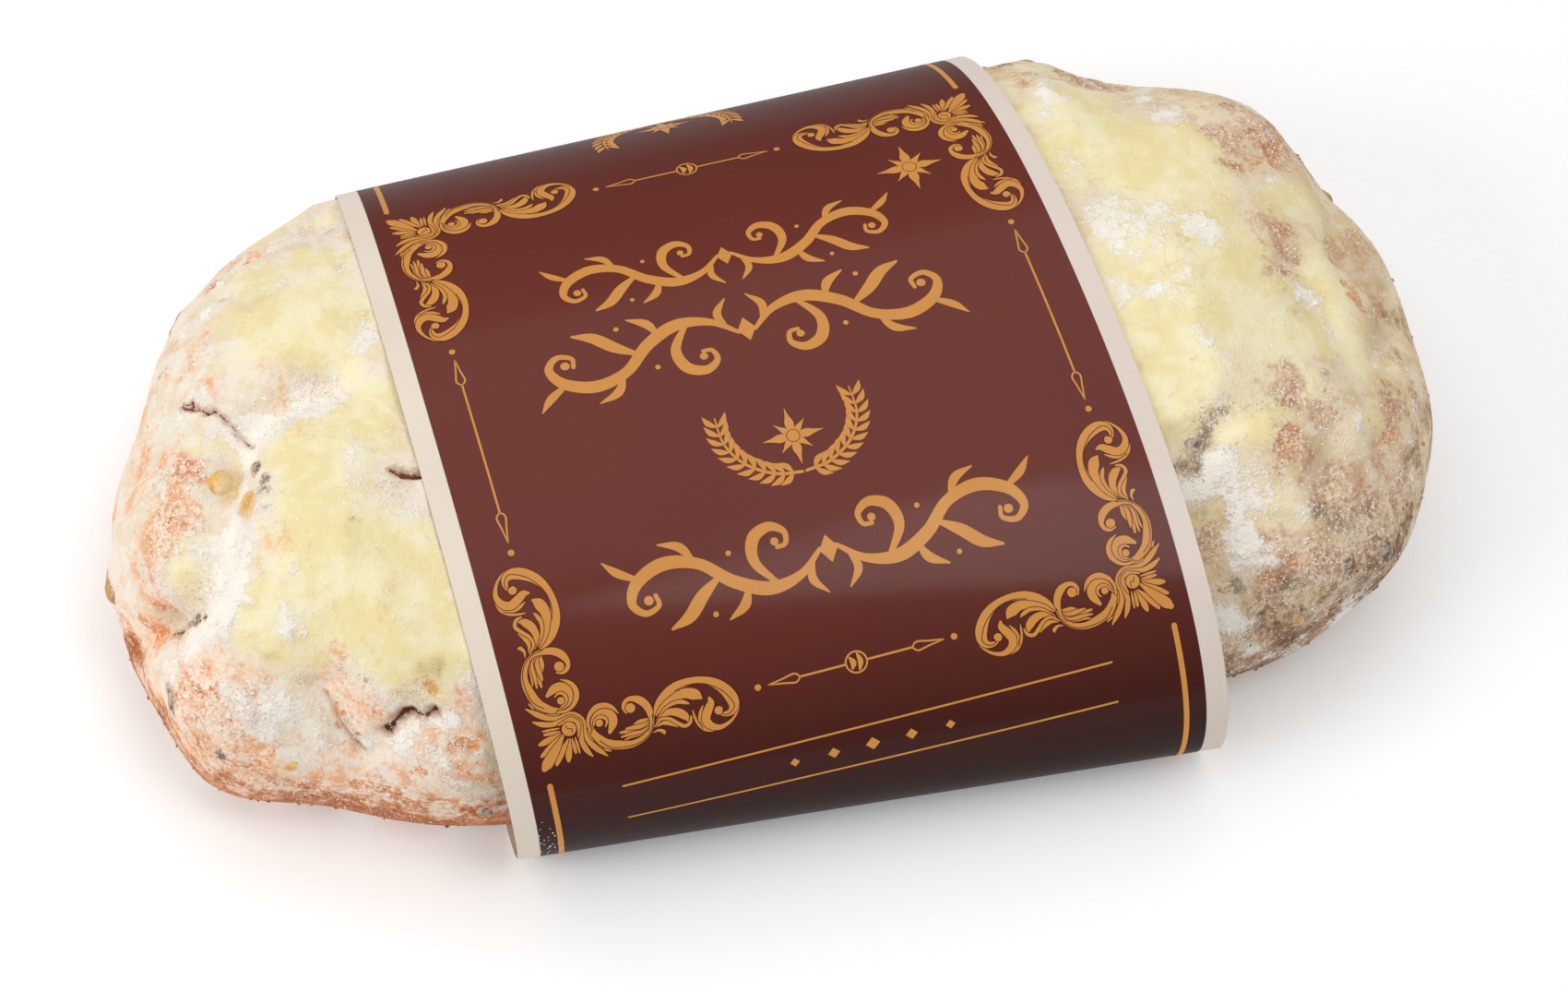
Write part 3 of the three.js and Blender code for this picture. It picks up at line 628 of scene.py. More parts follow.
        (908, 67, 17, 6), (899, 61, 30, 7), (897, 55, 24, 7), (919, 55, 15, 5), (924, 41, 24, 7),
        (919, 36, 24, 8), (901, 38, 31, 7), (899, 29, 31, 8), (881, 47, 30, 6), (872, 51, 30, 5),
        (869, 46, 27, 7), (881, 40, 30, 6), (883, 32, 34, 8), (870, 56, 23, 8), (846, 49, 23, 3),
        (827, 44, 23, 7), (822, 42, 20, 6), (839, 37, 27, 6), (842, 31, 30, 8), (837, 23, 27, 8),
        (846, 33, 27, 7), (853, 30, 27, 7), (857, 25, 27, 7), (869, 21, 27, 7), (823, 11, 27, 6),
        (829, 3, 20, 7), (867, 3, 21, 6), (853, 17, 24, 5), (890, 18, 21, 8), (846, 11, 24, 6),
        (908, 23, 17, 8), (899, 17, 17, 8), (386, 34, 20, 6), (399, 36, 20, 7), (415, 38, 18, 7),
        (428, 39, 18, 6),
    ],
    "ruddy": [
        (454, 69, 5, 10), (426, 75, 7, 7), (436, 74, 5, 5), (482, 50, 8, 8), (483, 55, 8, 8),
        (487, 57, 7, 7), (487, 49, 7, 6), (505, 49, 16, 4), (509, 48, 15, 3), (514, 54, 7, 8),
        (534, 53, 6, 8), (524, 29, 15, 7), (522, 17, 12, 9), (528, 17, 13, 9), (451, 35, 7, 9),
        (428, 36, 7, 5), (386, 39, 7, 10), (373, 25, 9, 5), (362, 31, 11, 6), (356, 27, 9, 5),
        (560, 27, 16, 5), (565, 31, 13, 5), (571, 33, 11, 6), (571, 29, 10, 4), (566, 23, 10, 4),
        (582, 24, 13, 4), (589, 35, 8, 8), (610, 28, 10, 7), (609, 23, 10, 6), (613, 27, 6, 8),
        (601, 21, 15, 6), (600, 13, 13, 7), (619, 39, 8, 8), (622, 36, 6, 10), (625, 33, 6, 10),
        (628, 29, 6, 9), (631, 27, 6, 8), (631, 31, 6, 8), (636, 32, 8, 9), (639, 34, 6, 8),
        (673, 32, 14, 9), (668, 29, 10, 9), (671, 25, 18, 8), (675, 24, 13, 8), (658, 29, 8, 5),
        (656, 21, 18, 8), (659, 20, 13, 7), (664, 18, 8, 10), (634, 9, 13, 6), (631, 6, 13, 7),
        (644, 5, 16, 8), (636, 0, 20, 8), (651, 5, 20, 8), (664, 9, 19, 8), (670, 1, 20, 9),
        (680, 19, 11, 8), (680, -100, 10, 8), (617, 2, 17, 8), (610, 3, 13, 7), (604, 4, 13, 6),
        (594, 11, 13, 5), (588, 11, 13, 6), (574, 11, 13, 7), (559, 10, 13, 7), (547, 7, 12, 8),
        (543, 9, 10, 8), (673, 41, 8, 5), (438, 55, 10, 4), (505, 12, 10, 6), (659, 44, 10, 9),
        (127, 30, 15, 6), (122, 30, 13, 9), (166, 43, 9, 7), (177, 50, 9, 5), (67, 43, 9, 8),
        (50, 61, 11, 9), (45, 59, 11, 9), (51, 50, 21, 6), (47, 47, 21, 8), (44, 51, 14, 9),
        (48, 55, 11, 6), (51, 37, 18, 6), (43, 42, 14, 8), (39, 49, 12, 8), (35, 44, 9, 8), (35, 56, 5, 9),
        (12, 65, 5, 9), (3, 59, 12, 9), (995, 59, 9, 9), (998, 62, 7, 6), (979, 63, 9, 10),
        (970, 49, 12, 9), (964, 46, 14, 10), (960, 43, 10, 10), (970, 35, 9, 9), (959, 39, 7, 8),
        (956, 36, 7, 8), (923, 68, 7, 8), (921, 66, 7, 8), (901, 63, 7, 8), (891, 63, 10, 7),
        (897, 63, 8, 6), (884, 66, 10, 4), (867, 69, 8, 4), (911, 55, 7, 6), (906, 53, 7, 6),
        (926, 39, 9, 5), (911, 35, 14, 10), (912, 31, 9, 7), (873, 57, 15, 9), (866, 56, 15, 9),
        (861, 55, 10, 7), (873, 43, 10, 7), (875, 45, 8, 5), (891, 28, 12, 7), (903, 21, 10, 6),
        (867, 42, 8, 4), (891, 16, 9, 7), (878, 23, 9, 6), (844, 35, 10, 6), (846, 33, 12, 6),
        (837, 29, 17, 9), (861, 29, 12, 5), (862, 25, 15, 6), (856, 30, 10, 5), (825, 36, 10, 9),
        (834, 47, 7, 8), (841, 12, 10, 10), (844, 15, 8, 9), (856, 25, 10, 5), (820, 13, 10, 3),
        (823, 9, 10, 3),
    ],
    "specks": [
        (442, 73, 23, 8), (450, 71, 17, 8), (465, 68, 15, 8), (415, 77, 20, 6), (485, 49, 33, 7),
        (484, 55, 20, 8), (506, 49, 46, 5), (515, 39, 36, 5), (514, 54, 16, 6), (519, 48, 26, 5),
        (534, 60, 18, 8), (526, 63, 13, 5), (540, 52, 23, 8), (539, 45, 23, 8), (536, 39, 16, 7),
        (525, 36, 23, 4), (506, 72, 15, 6), (524, 73, 15, 6), (515, 69, 10, 6), (485, 63, 7, 8),
        (537, 73, 14, 3), (579, 91, 22, 5), (462, 95, 13, 6), (425, 47, 20, 5), (414, 48, 15, 5),
        (426, 37, 16, 8), (415, 56, 14, 2), (325, 46, 19, 8), (334, 39, 23, 6), (342, 39, 20, 4),
        (336, 63, 14, 6), (337, 76, 15, 5), (344, 79, 13, 7), (359, 23, 18, 6), (357, 37, 18, 5),
        (375, 25, 16, 7), (401, 38, 17, 3), (384, 49, 21, 3), (560, 30, 33, 4), (576, 29, 33, 5),
        (585, 29, 26, 6), (589, 35, 16, 9), (575, 21, 26, 6), (584, 23, 20, 6), (559, 19, 15, 8),
        (590, 23, 23, 4), (604, 23, 26, 4), (613, 28, 15, 6), (625, 49, 14, 6), (638, 47, 16, 8),
        (628, 45, 16, 4), (609, 41, 19, 4), (644, 41, 19, 7), (652, 41, 21, 8), (659, 40, 21, 8),
        (658, 48, 16, 4), (652, 34, 19, 3), (625, 34, 19, 6), (633, 28, 19, 6), (666, 38, 13, 5),
        (663, 24, 21, 8), (666, 20, 19, 9), (671, 19, 19, 5), (673, 41, 19, 4), (646, 15, 23, 4),
        (638, 5, 39, 6), (651, 6, 39, 6), (663, 1, 39, 5), (620, 1, 27, 6), (604, 4, 30, 5),
        (594, 9, 26, 5), (584, 11, 26, 6), (571, 12, 23, 6), (551, 7, 20, 5), (677, -100, 20, 8),
        (670, 29, 13, 7), (584, 49, 14, 3), (134, 31, 30, 5), (122, 30, 20, 8), (164, 44, 22, 8),
        (104, 39, 22, 3), (69, 45, 22, 6), (65, 57, 25, 5), (49, 61, 18, 9), (42, 59, 16, 8),
        (49, 47, 36, 7), (40, 46, 25, 7), (35, 56, 12, 6), (0, 59, 21, 7), (979, 63, 16, 9),
        (11, -100, 21, 8), (911, 65, 18, 5), (896, 63, 23, 9), (884, 65, 23, 6), (869, 69, 22, 7),
        (856, 69, 21, 7), (848, 67, 20, 9), (837, 64, 21, 10), (830, 61, 18, 10), (974, -100, 28, 8),
        (883, 59, 20, 5), (918, 55, 15, 7), (906, 53, 15, 8), (894, 53, 18, 7), (870, 56, 25, 7),
        (861, 55, 18, 7), (853, 59, 17, 4), (846, 60, 15, 4), (878, 47, 25, 4), (873, 43, 22, 8),
        (866, 41, 23, 8), (870, 36, 27, 8), (872, 31, 24, 7), (880, 31, 25, 6), (910, 34, 19, 6),
        (900, 31, 24, 5), (894, 25, 22, 6), (890, 17, 19, 8), (876, 22, 26, 9), (864, 24, 30, 9),
        (854, 28, 27, 9), (859, 20, 25, 8), (851, 25, 22, 8), (878, -100, 29, 8), (842, 33, 27, 6),
        (836, 30, 22, 6), (839, 42, 18, 3), (832, 39, 22, 3), (836, 47, 13, 7), (827, 39, 18, 8),
        (825, 44, 21, 7), (823, 47, 16, 5), (825, 29, 22, 9), (837, 19, 30, 8), (841, 11, 25, 7),
        (849, 8, 24, 7), (859, 10, 22, 7), (867, 9, 21, 7), (830, 11, 22, 8), (825, 10, 22, 7),
        (836, 5, 22, 6), (820, 10, 18, 5), (872, 17, 19, 8), (916, 39, 17, 4), (929, 39, 17, 4),
        (926, 27, 14, 4), (844, 86, 10, 4), (839, 82, 10, 4), (959, 42, 21, 4),
    ],
    # Grey crust, and painted shade in furrows, hollows and round cracks.
    "dusk": [
        (531, 61, 11, 5), (535, 59, 11, 5), (542, 47, 11, 5), (503, 72, 10, 8), (523, 73, 15, 4),
        (566, 83, 8, 5), (325, 47, 14, 5), (383, 50, 17, 3), (389, 47, 14, 3), (638, 47, 10, 6),
        (663, 49, 13, 4), (661, 40, 11, 5), (656, 39, 11, 4), (666, 24, 11, 5), (670, 21, 11, 6),
        (426, 37, 9, 7), (545, 42, 8, 8), (846, 66, 18, 6), (837, 63, 24, 6), (830, 61, 18, 8),
        (830, 63, 10, 9), (973, -100, 24, 3), (864, 39, 18, 6), (867, 40, 14, 5), (869, 35, 18, 5),
        (873, 32, 14, 5), (869, 30, 14, 4), (846, 26, 20, 6), (842, 25, 16, 5), (875, -100, 14, 5),
        (827, 30, 13, 7), (827, 26, 12, 7), (875, 13, 12, 8), (873, 21, 9, 7), (854, 27, 13, 4),
        (866, 11, 14, 6), (859, 8, 14, 5), (862, -100, 21, 5), (854, -100, 16, 4), (827, 51, 18, 3),
        (851, 59, 15, 4), (834, 4, 14, 5), (872, 9, 14, 6), (163, 42, 15, 6),
        (851, 68, 15, 5), (861, 69, 12, 4), (871, 69, 12, 5), (882, 68, 12, 4), (890, 66, 13, 5),
        (894, 62, 13, 5), (892, 58, 11, 4),
    ],
    "tan": [
        (829, -5, 17, 10), (827, -12, 17, 10), (834, -2, 14, 9), (839, 1, 12, 7), (844, 2, 10, 6),
        (827, -30, 14, 10), (883, 41, 22, 5), (897, 35, 17, 4), (910, 21, 14, 7), (851, 44, 22, 3),
        (883, 51, 17, 4), (919, 23, 10, 6), (876, 19, 17, 4), (862, 33, 20, 4), (995, 59, 24, 2),
        (997, 34, 21, 6), (980, 34, 18, 6), (960, 25, 14, 6), (15, 29, 18, 5), (827, 51, 20, 4),
        (658, 48, 16, 4), (663, 51, 13, 5), (584, 49, 11, 4), (380, 55, 27, 3), (841, 12, 17, 6),
        (27, 46, 34, 3), (987, 38, 40, 4), (960, 38, 36, 4), (5, 42, 36, 4), (415, 39, 14, 3),
        (832, 23, 20, 3), (636, 0, 23, 5), (415, 73, 33, 2), (837, 64, 23, 3), (834, 47, 13, 5),
    ],
    "amber": [
        (489, 62, 22, 7), (494, 65, 16, 8), (500, 63, 16, 6), (515, 70, 14, 7), (510, 71, 12, 7),
        (519, 69, 12, 6), (631, 63, 5, 5), (614, 61, 3, 5), (659, 44, 8, 7), (606, 13, 8, 7), (42, 77, 5, 6),
        (21, 83, 7, 8), (15, 82, 5, 8), (41, 85, 5, 4), (961, 85, 5, 8), (11, 93, 5, 5), (554, 21, 7, 5),
    ],
    "crackle": [
        (57, 86, 40, 8), (16, 86, 44, 9), (969, 85, 35, 8), (22, 78, 30, 6), (933, 89, 30, 6),
        (441, 86, 40, 4), (620, 60, 40, 3), (877, 60, 30, 5),
    ],
}
PATCH_SPREAD = 1.25
SOFT_EDGE = 2
PATCH_FLATNESS = {"ruddy": 3, "amber": 3, "dusk": 2.5}
# Which way the crust faces where it is seen least: the far side and underneath.
FAR_SIDE = np.array([0.16, 0.47, -0.87])
# Heights over which each of these sets in or ends, and how far across the right end begins.
UNDERSIDE = (3, 9)
LOWER_CRUST = (14, 42)
VEIL_FOOT = (6, 15)
VEIL_TOP = (20, 34)
BARE_FOOT = (2, 9)
BAKED_FOOT = 8
BAKED_TOP = 32
BAKED_HIGHER_RIGHT = 20
STREW_FOOT = (3, 7)
RIGHT_END = (20, 90)
# Sugar and crumbs lie neither under the paper nor on the very tips of the loaf.
STREW_FROM = 66
STREW_REACH = 123.5


def frayed(points):
    """The points nudged by noise, so that patches found at them have ragged edges."""
    shift = np.stack([cloud_noise(points, 10, seed) for seed in (11, 21, 31)], -1)
    flicker = np.stack([gradient_noise(points, 3.6, seed) for seed in (14, 24, 34)], -1)
    return points + 2.6 * shift + 1.1 * flicker


def patch_field(points, patches, flatness):
    clear = np.ones(points.shape[:-1])
    for turn, rise, radius, amount in patches:
        distance = length_of(points - smooth_loaf(turn / 1000, rise / 100)) * 10 / radius
        clear *= 1 - amount / 10 * np.exp(-(distance / PATCH_SPREAD) ** flatness)
    return 1 - clear


def crust_marks(plain, outward, amounts, broad, medium):
    """What is kept on the crust's points for its material and for the strewing."""
    x, y, z = plain[..., 0], plain[..., 1], plain[..., 2]
    powder, peach, specks = amounts["powder"], amounts["peach"], amounts["specks"]
    unseen = soft_step(outward @ FAR_SIDE, -0.05, 0.2)
    rightward = soft_step(x, *RIGHT_END)
    under = 1 - soft_step(z, *UNDERSIDE)
    low = 1 - soft_step(z, *LOWER_CRUST)
    band = soft_step(z, *VEIL_FOOT) * (1 - soft_step(z, *VEIL_TOP))
    facing = rightward * soft_step(-y, 0, 40)
    veil = np.maximum(unseen * (0.2 + 0.6 * medium), band * facing * (0.3 + 0.5 * medium))
    bare = 1 - rightward * (1 - soft_step(z, *BARE_FOOT))
    browning = (0.65 + 0.35 * unseen) * (1.1 * low + 0.4 * broad)
    base = 1 - soft_step(z + 5 * medium, BAKED_FOOT, BAKED_TOP + BAKED_HIGHER_RIGHT * rightward)
    in_reach = np.abs(x + CENTRING[0]) <= STREW_REACH
    free = (np.abs(x - SLEEVE_MIDDLE) > STREW_FROM) * soft_step(z, *STREW_FOOT) * in_reach
    return {
        **amounts,
        "butter": np.maximum(amounts["butter"], unseen * (0.6 + 0.5 * broad - low)),
        "powder": np.maximum(powder, veil) * bare,
        "peach": np.maximum(np.maximum(peach, under), browning),
        "specks": np.maximum(specks, 0.5 * unseen * low),
        "base": base,
        "sugar": free * (0.06 + powder + 0.35 * peach),
        "clumps": free * (powder - 0.45),
        "crumbs": free * (0.3 * specks + base - 0.3),
    }


# ---- the loaf
LOAF_COLUMNS = 640
UPPER_RINGS = 116
LOWER_RINGS = 24
END_DENSITY = 0.3
TOP_RISE = 0.99
POLE_DIP = 1.2
POLE_MARK = 0.5
PAPER_GAP = 0.85
# The crust stays this far inside the CAD model's box.
CAD_MARGIN = 0.05
CAD_LIMITS = (
    np.array(cad_box[0]) / MM - CENTRING + CAD_MARGIN,
    np.array(cad_box[1]) / MM - CENTRING - CAD_MARGIN,
)
# Beyond the far distance a crack has no say, and past its reach it closes.
CRACK_FAR = 9.0
CRACK_REACH = 2.0
CRACK_TAPER = 1.5
CRACK_NARROWEST = 0.06
CRACK_FULL_DEPTH = 0.4
CRACK_SLOPE = 0.55
CRACK_SINK = 0.7
LIP_HEIGHT = 0.35
LIP_AWAY = 1.1
LIP_WIDTH = 0.6
LEAST_GROOVE = 0.01
# A fill at the right rim: place, height and radius.
RIM_FILL = ((0.033, 0.33), 1.1, 13)


def loaf_grid():
    even = np.arange(LOAF_COLUMNS) / LOAF_COLUMNS
    turns = even - END_DENSITY * np.sin(2 * FULL_TURN * even) / (2 * FULL_TURN)
    upper = 1 - np.arange(1, UPPER_RINGS + 1) / UPPER_RINGS
    lower = -np.arange(1, LOWER_RINGS + 1) / LOWER_RINGS
    return np.meshgrid(turns, np.concatenate([[TOP_RISE], upper, lower]))


def crack_fields(points, outward):
    """Signed distance to the nearest crack, its half width there, and how far the crust sinks."""
    nearest = np.full(points.shape[:-1], np.inf)
    side = np.full(points.shape[:-1], CRACK_FAR)
    half = np.full(points.shape[:-1], -CRACK_FAR)
    groove = np.zeros(points.shape[:-1])
    for depth, path in CRACKS:
        knots = places([place[:2] for place in path])
        widths = [place[2] for place in path]
        for i in range(len(knots) - 1):
            along = knots[i + 1] - knots[i]
            length = length_of(along)
            free = ((points - knots[i]) @ along) / length ** 2
            share = np.clip(free, 0, 1)
            distance = length_of(points - knots[i] - share[..., None] * along)
            beyond = np.zeros_like(free)
            if i == 0:
                beyond = np.maximum(beyond, -free * length)
            if i == len(knots) - 2:
                beyond = np.maximum(beyond, (free - 1) * length)
            width = lerp(widths[i], widths[i + 1], share)
            sign = np.where((np.cross(along, points - knots[i]) * outward).sum(-1) < 0, -1, 1)
            closer = distance < nearest
            nearest = np.where(closer, distance, nearest)
            side = np.where(closer, sign * np.minimum(distance, CRACK_FAR), side)
            fading = np.maximum(distance - CRACK_REACH, 0)
            half = np.where(closer, width - CRACK_TAPER * beyond - fading, half)
            width = np.maximum(width, CRACK_NARROWEST)
            sink = depth * np.minimum(width / CRACK_FULL_DEPTH, 1) * hill(distance, width + CRACK_SLOPE)
            groove = np.maximum(groove, sink)
    return side, half, groove


def crust_height(plain, amounts, medium, cracks):
    """How far the crust stands out of the plain loaf, in millimetres."""
    side, half, groove = cracks
    powder, ruddy, dusk = amounts["powder"], amounts["ruddy"], amounts["dusk"]
    fine = cloud_noise(plain, 3.2, 61, 2)
    rough = 0.25 + 0.75 * np.maximum(amounts["peach"], powder)
    relief = relief_at(plain)
    fill_place, fill_height, fill_radius = RIM_FILL
    height = relief + fill_height * hill(length_of(plain - smooth_loaf(*fill_place)), fill_radius)
    height += rough * (0.34 * medium + 0.2 * fine) + 0.05 * fine
    height += 0.3 * powder - 0.3 * ruddy - 0.15 * dusk - 0.2
    height += LIP_HEIGHT * hill(np.abs(side) - half - LIP_AWAY, LIP_WIDTH) * (groove > LEAST_GROOVE)
    height -= CRACK_SINK * groove
    for name, at, size, proud, _ in FRUIT:
        reach = (size[0] + size[1]) / 4 + PILE_REACH
        piled = np.exp(-(length_of(plain - smooth_loaf(*at)) / reach) ** 3)
        height = lerp(height, relief + proud - FRUIT_SHOWING[kind_of(name)] + 0.22 * fine, piled)
    return height


def make_loaf():
    turns, rises = loaf_grid()
    plain = smooth_loaf(turns, rises)
    outward = loaf_normal(turns, rises)
    warped = frayed(plain)
    amounts = {name: patch_field(warped, patches, PATCH_FLATNESS.get(name, SOFT_EDGE))
               for name, patches in PATCHES.items()}
    broad = cloud_noise(plain, 26, 41)
    medium = cloud_noise(plain, 9, 51)
    cracks = crack_fields(plain, outward)
    marks = crust_marks(plain, outward, amounts, broad, medium)
    marks["crack_side"], marks["crack_half"] = cracks[:2]
    height = crust_height(plain, amounts, medium, cracks)
    points = tuck_under_sleeve(plain + outward * height[..., None], PAPER_GAP)
    points = np.clip(points, *CAD_LIMITS)

    poles = [(0, CROWN_Y, CROWN_TOP[0] - POLE_DIP), (0, CROWN_Y, LOAF_BASE)]
    points = np.concatenate([points.reshape(-1, 3), poles])
    marks = {name: np.append(field.reshape(-1), (POLE_MARK, POLE_MARK)) for name, field in marks.items()}
    return new_piece("sugared_loaf", points, capped_faces(len(rises), LOAF_COLUMNS),
                     [crust_material()], ("loaf",), marks=marks)


# ---- the crust's material
CRUST_MARKS = ["butter", "powder", "peach", "ruddy", "specks", "dusk", "tan", "amber", "crackle",
               "base", "crack_side", "crack_half"]
# Colours of the left end, then of the right end, each from light to dark.
CREAM = (colour(243, 232, 216), colour(236, 217, 190)), (colour(240, 223, 192), colour(226, 198, 158))
SKIN = (colour(253, 223, 196), colour(242, 178, 130)), (colour(230, 200, 170), colour(202, 158, 124))
RUST = (colour(236, 170, 120), colour(218, 134, 78)), (colour(230, 182, 140), colour(206, 146, 102))
# Grey crust, also used as painted shade in furrows and round cracks.
GREY_AND_SHADE = colour(128, 112, 94), colour(134, 118, 96)
SUGAR = colour(249, 241, 230), colour(250, 243, 232)
# Colours from light to dark.
BUTTER = colour(246, 236, 196), colour(241, 224, 168)
BAKED_LEFT = colour(204, 116, 56), colour(160, 84, 34)
BAKED_RIGHT = colour(176, 136, 100), colour(122, 88, 60)
PINHOLE = colour(134, 104, 92), colour(170, 120, 92)


def crust_values(place):
    """The marks, and noises of about -0.2..0.2 that break them up, from fine to broad."""
    stretched = place.make("ShaderNodeMapping", {"vector_type": "POINT"},
                           {"Vector": place, "Scale": (1, 0.28, 0.7)})
    return SimpleNamespace(
        place=place, stretched=stretched,
        dots=place.noise(0.5, 2) - 0.5, grain=place.noise(1.1, 3, 0.6) - 0.5,
        speckle=place.noise(3.2, 4, 0.65) - 0.5, mottle=place.noise(9, 3, 0.55) - 0.5,
        streaks=stretched.noise(2.6, 4, 0.6) - 0.5,
        right=place.part("X").step(-0.01, 0.01),
        **{name: place.mark(name) for name in CRUST_MARKS})


def end_to_end(of, shade, colours):
    left, right = colours
    return of.right.blend(shade.blend(*left), shade.blend(*right))


def butter_coat(of):
    """Butter-soaked sugar, from cream to yellow."""
    cream = end_to_end(of, (of.speckle + of.mottle).step(-0.14, 0.16), CREAM)
    yellow = (of.mottle + 0.6 * of.speckle).step(-0.14, 0.14).blend(*BUTTER)
    of.soaked = (of.butter + 0.9 * of.mottle + 0.5 * of.speckle).step(0.0, 0.6)
    return of.soaked.blend(cream, yellow)


def bare_crust(of, surface):
    """Crust that shows through a thin dusting, darker towards the base, with grey patches that are partly
    painted shade.
    """
    warm = (of.peach + 0.9 * of.streaks + 0.6 * of.speckle + 0.8 * of.grain).step(0.14, 0.7)
    shade = (of.streaks + of.mottle + 0.6 * of.grain).step(-0.2, 0.22)
    surface = (warm * 0.95).blend(surface, end_to_end(of, shade, SKIN))
    dotted = of.specks * (0.3 + 0.25 * of.right + 1.6 * of.grain)
    surface = dotted.blend(surface, colour(204, 170, 144))
    surface = (of.tan * (0.9 + 0.8 * of.grain)).blend(surface, colour(184, 142, 90))
    baked = (of.base + 1.2 * of.streaks + 0.6 * of.grain + 0.8 * of.mottle).step(0.28, 0.86)
    crumb = (of.mottle + of.grain).step(-0.14, 0.16)
    surface = (baked * of.right).blend(surface, crumb.blend(*BAKED_RIGHT))
    of.rust = (of.ruddy + 1.1 * of.grain + 0.8 * of.dots + 0.8 * of.speckle).step(0.22, 0.6)
    fired = (of.dots + of.grain).step(-0.14, 0.16)
    surface = (of.rust * 0.85).blend(surface, end_to_end(of, fired, RUST))
    surface = (baked * (1 - of.right) * 0.9).blend(surface, crumb.blend(*BAKED_LEFT))
    # Grey patches: partly grey crust, partly painted shade in furrows and round cracks.
    dusk = (of.dusk * (1.1 + 0.2 * of.right + 3.2 * of.grain + 2.2 * of.dots)).step(0.1, 0.9)
    return (dusk * 0.85).blend(surface, of.right.blend(*GREY_AND_SHADE))


def sugar_drifts(of, surface):
    """White sugar in drifts with a cottony edge."""
    fluff = (0.5 * of.peach + 0.6 * of.specks - 0.2 * of.base) * (of.dots + 0.8 * of.grain)
    surface = (fluff.step(0.02, 0.16) * 0.45).blend(surface, colour(164, 116, 88))
    surface = ((-1 * fluff).step(0.02, 0.16) * 0.7).blend(surface, colour(250, 243, 234))
    of.white = (of.powder + 1.4 * of.speckle + 1.1 * of.grain + 0.7 * of.dots).step(0.24, 0.74)
    return (of.white * 0.96).blend(surface, of.right.blend(*SUGAR))


def holes_and_grains(of, surface):
    """Brown pinholes and white grains, thicker where their marks are stronger."""
    away, chance = of.place.scattered(0.45)
    share = (0.75 * of.specks + 1.0 * of.grain * of.specks - chance).step(0.0, 0.16)
    hole = (1 - away.step(0.2, 0.65)) * share
    surface = (hole * (0.38 + 0.25 * of.right)).blend(surface, chance.step(0.1, 0.45).blend(*PINHOLE))
    away, chance = of.place.scattered(0.6)
    share = 0.2 * (of.peach + of.specks) + 0.05 * of.base + 0.7 * of.speckle - chance
    grain = (1 - away.step(0.2, 0.5)) * share.step(-0.05, 0.05)
    return (grain * 0.7).blend(surface, colour(252, 248, 243))


def crackle_and_cracks(of, surface):
    """Fine amber lines in the thick sugar, amber smears, and the cracks: their torn inside dark brown,
    partly painted shade, inside a brownish edge of painted shade.
    """
    edge = of.place.make("ShaderNodeTexVoronoi", {"feature": "DISTANCE_TO_EDGE"},
                         {"Vector": of.stretched, "Scale": 1 / (2.2 * MM)})
    line = (1 - edge.step(0.0, 0.06)) * (of.crackle + 1.6 * of.grain).step(0.3, 0.8)
    surface = (line * 0.5).blend(surface, colour(228, 200, 118))
    smear = of.amber * (of.grain + 0.6).step(0.2, 0.5)
    surface = (smear * 0.9).blend(surface, colour(226, 182, 90))
    torn = abs(of.crack_side) - of.crack_half + 1.3 * of.grain + 0.9 * of.dots
    # A brownish edge round each crack: painted shade where the crust dips into it.
    surface = ((1 - torn.step(0.1, 1.2)) * 0.6).blend(surface, colour(184, 136, 108))
    # The torn inside of the crack: brown crust, made darker as painted shade in the opening.
    return (1 - torn.step(-0.12, 0.14)).blend(surface, colour(118, 72, 50))


def crust_material():
    def build(place):
        of = crust_values(place)
        surface = butter_coat(of)
        for layer in (bare_crust, sugar_drifts, holes_and_grains, crackle_and_cracks):
            surface = layer(of, surface)
        pitted = (0.24 * of.grain + 0.12 * of.dots + 0.34 * of.speckle) * (1.15 - of.butter * 0.65)
        height = pitted + 0.1 * of.white - 0.1 * of.rust
        return {"Base Color": surface, "Normal": height.bump(),
                "Roughness": 0.85 - 0.3 * of.soaked * (1 - of.white)}

    return new_material("sugared crust", build, **{
        "Specular IOR Level": 0.3, "Subsurface Weight": 0.05,
        "Subsurface Radius": (0.004, 0.003, 0.002), "Subsurface Scale": 0.5})


# ---- places on the printed sleeve
# A place on the print is (across, down) in millimetres: across from the middle towards +X, down
# along the paper over the crown and on to the front.
# Where the crown line runs: down at the sleeve's middle, and how much that changes per millimetre.
CROWN_DOWN = (-17.975, -0.00625)
ANGLE_STEPS = 3000
ANGLE_END = 1e-6
STATIONS = 17
station_x = np.linspace(*SLEEVE_X, STATIONS)


def walked(angle, side):
    """The angle round the sleeve after that much angle from the crown, on the given side."""
    return angle if side == "back" else FULL_TURN - HAIR - angle


def arc_tables():
    """For each station across the sleeve, how much paper lies above each angle from the crown."""
    angles = np.linspace(0, math.pi - ANGLE_END, ANGLE_STEPS) ** 2 / math.pi
    tables = {}
    for side in ("back", "front"):
        tables[side] = []
        for x in station_x:
            points = sleeve_point(np.full(ANGLE_STEPS, x), walked(angles, side), 0.0)
            arc = np.concatenate([[0], np.cumsum(length_of(np.diff(points, axis=0)))])
            tables[side].append((arc, angles))
    return tables


ARCS = arc_tables()


def station_of(x):
    return (x - SLEEVE_X[0]) / (SLEEVE_X[1] - SLEEVE_X[0]) * (STATIONS - 1)


def angle_after(x, arc, side):
    """Angle from the crown after that much paper, on the given side."""
    station = station_of(x)
    left = np.clip(np.floor(station).astype(int), 0, STATIONS - 2)
    found = np.stack([np.interp(arc, *row) for row in ARCS[side]])
    index = np.arange(len(arc))
    return lerp(found[left, index], found[left + 1, index], station - left)


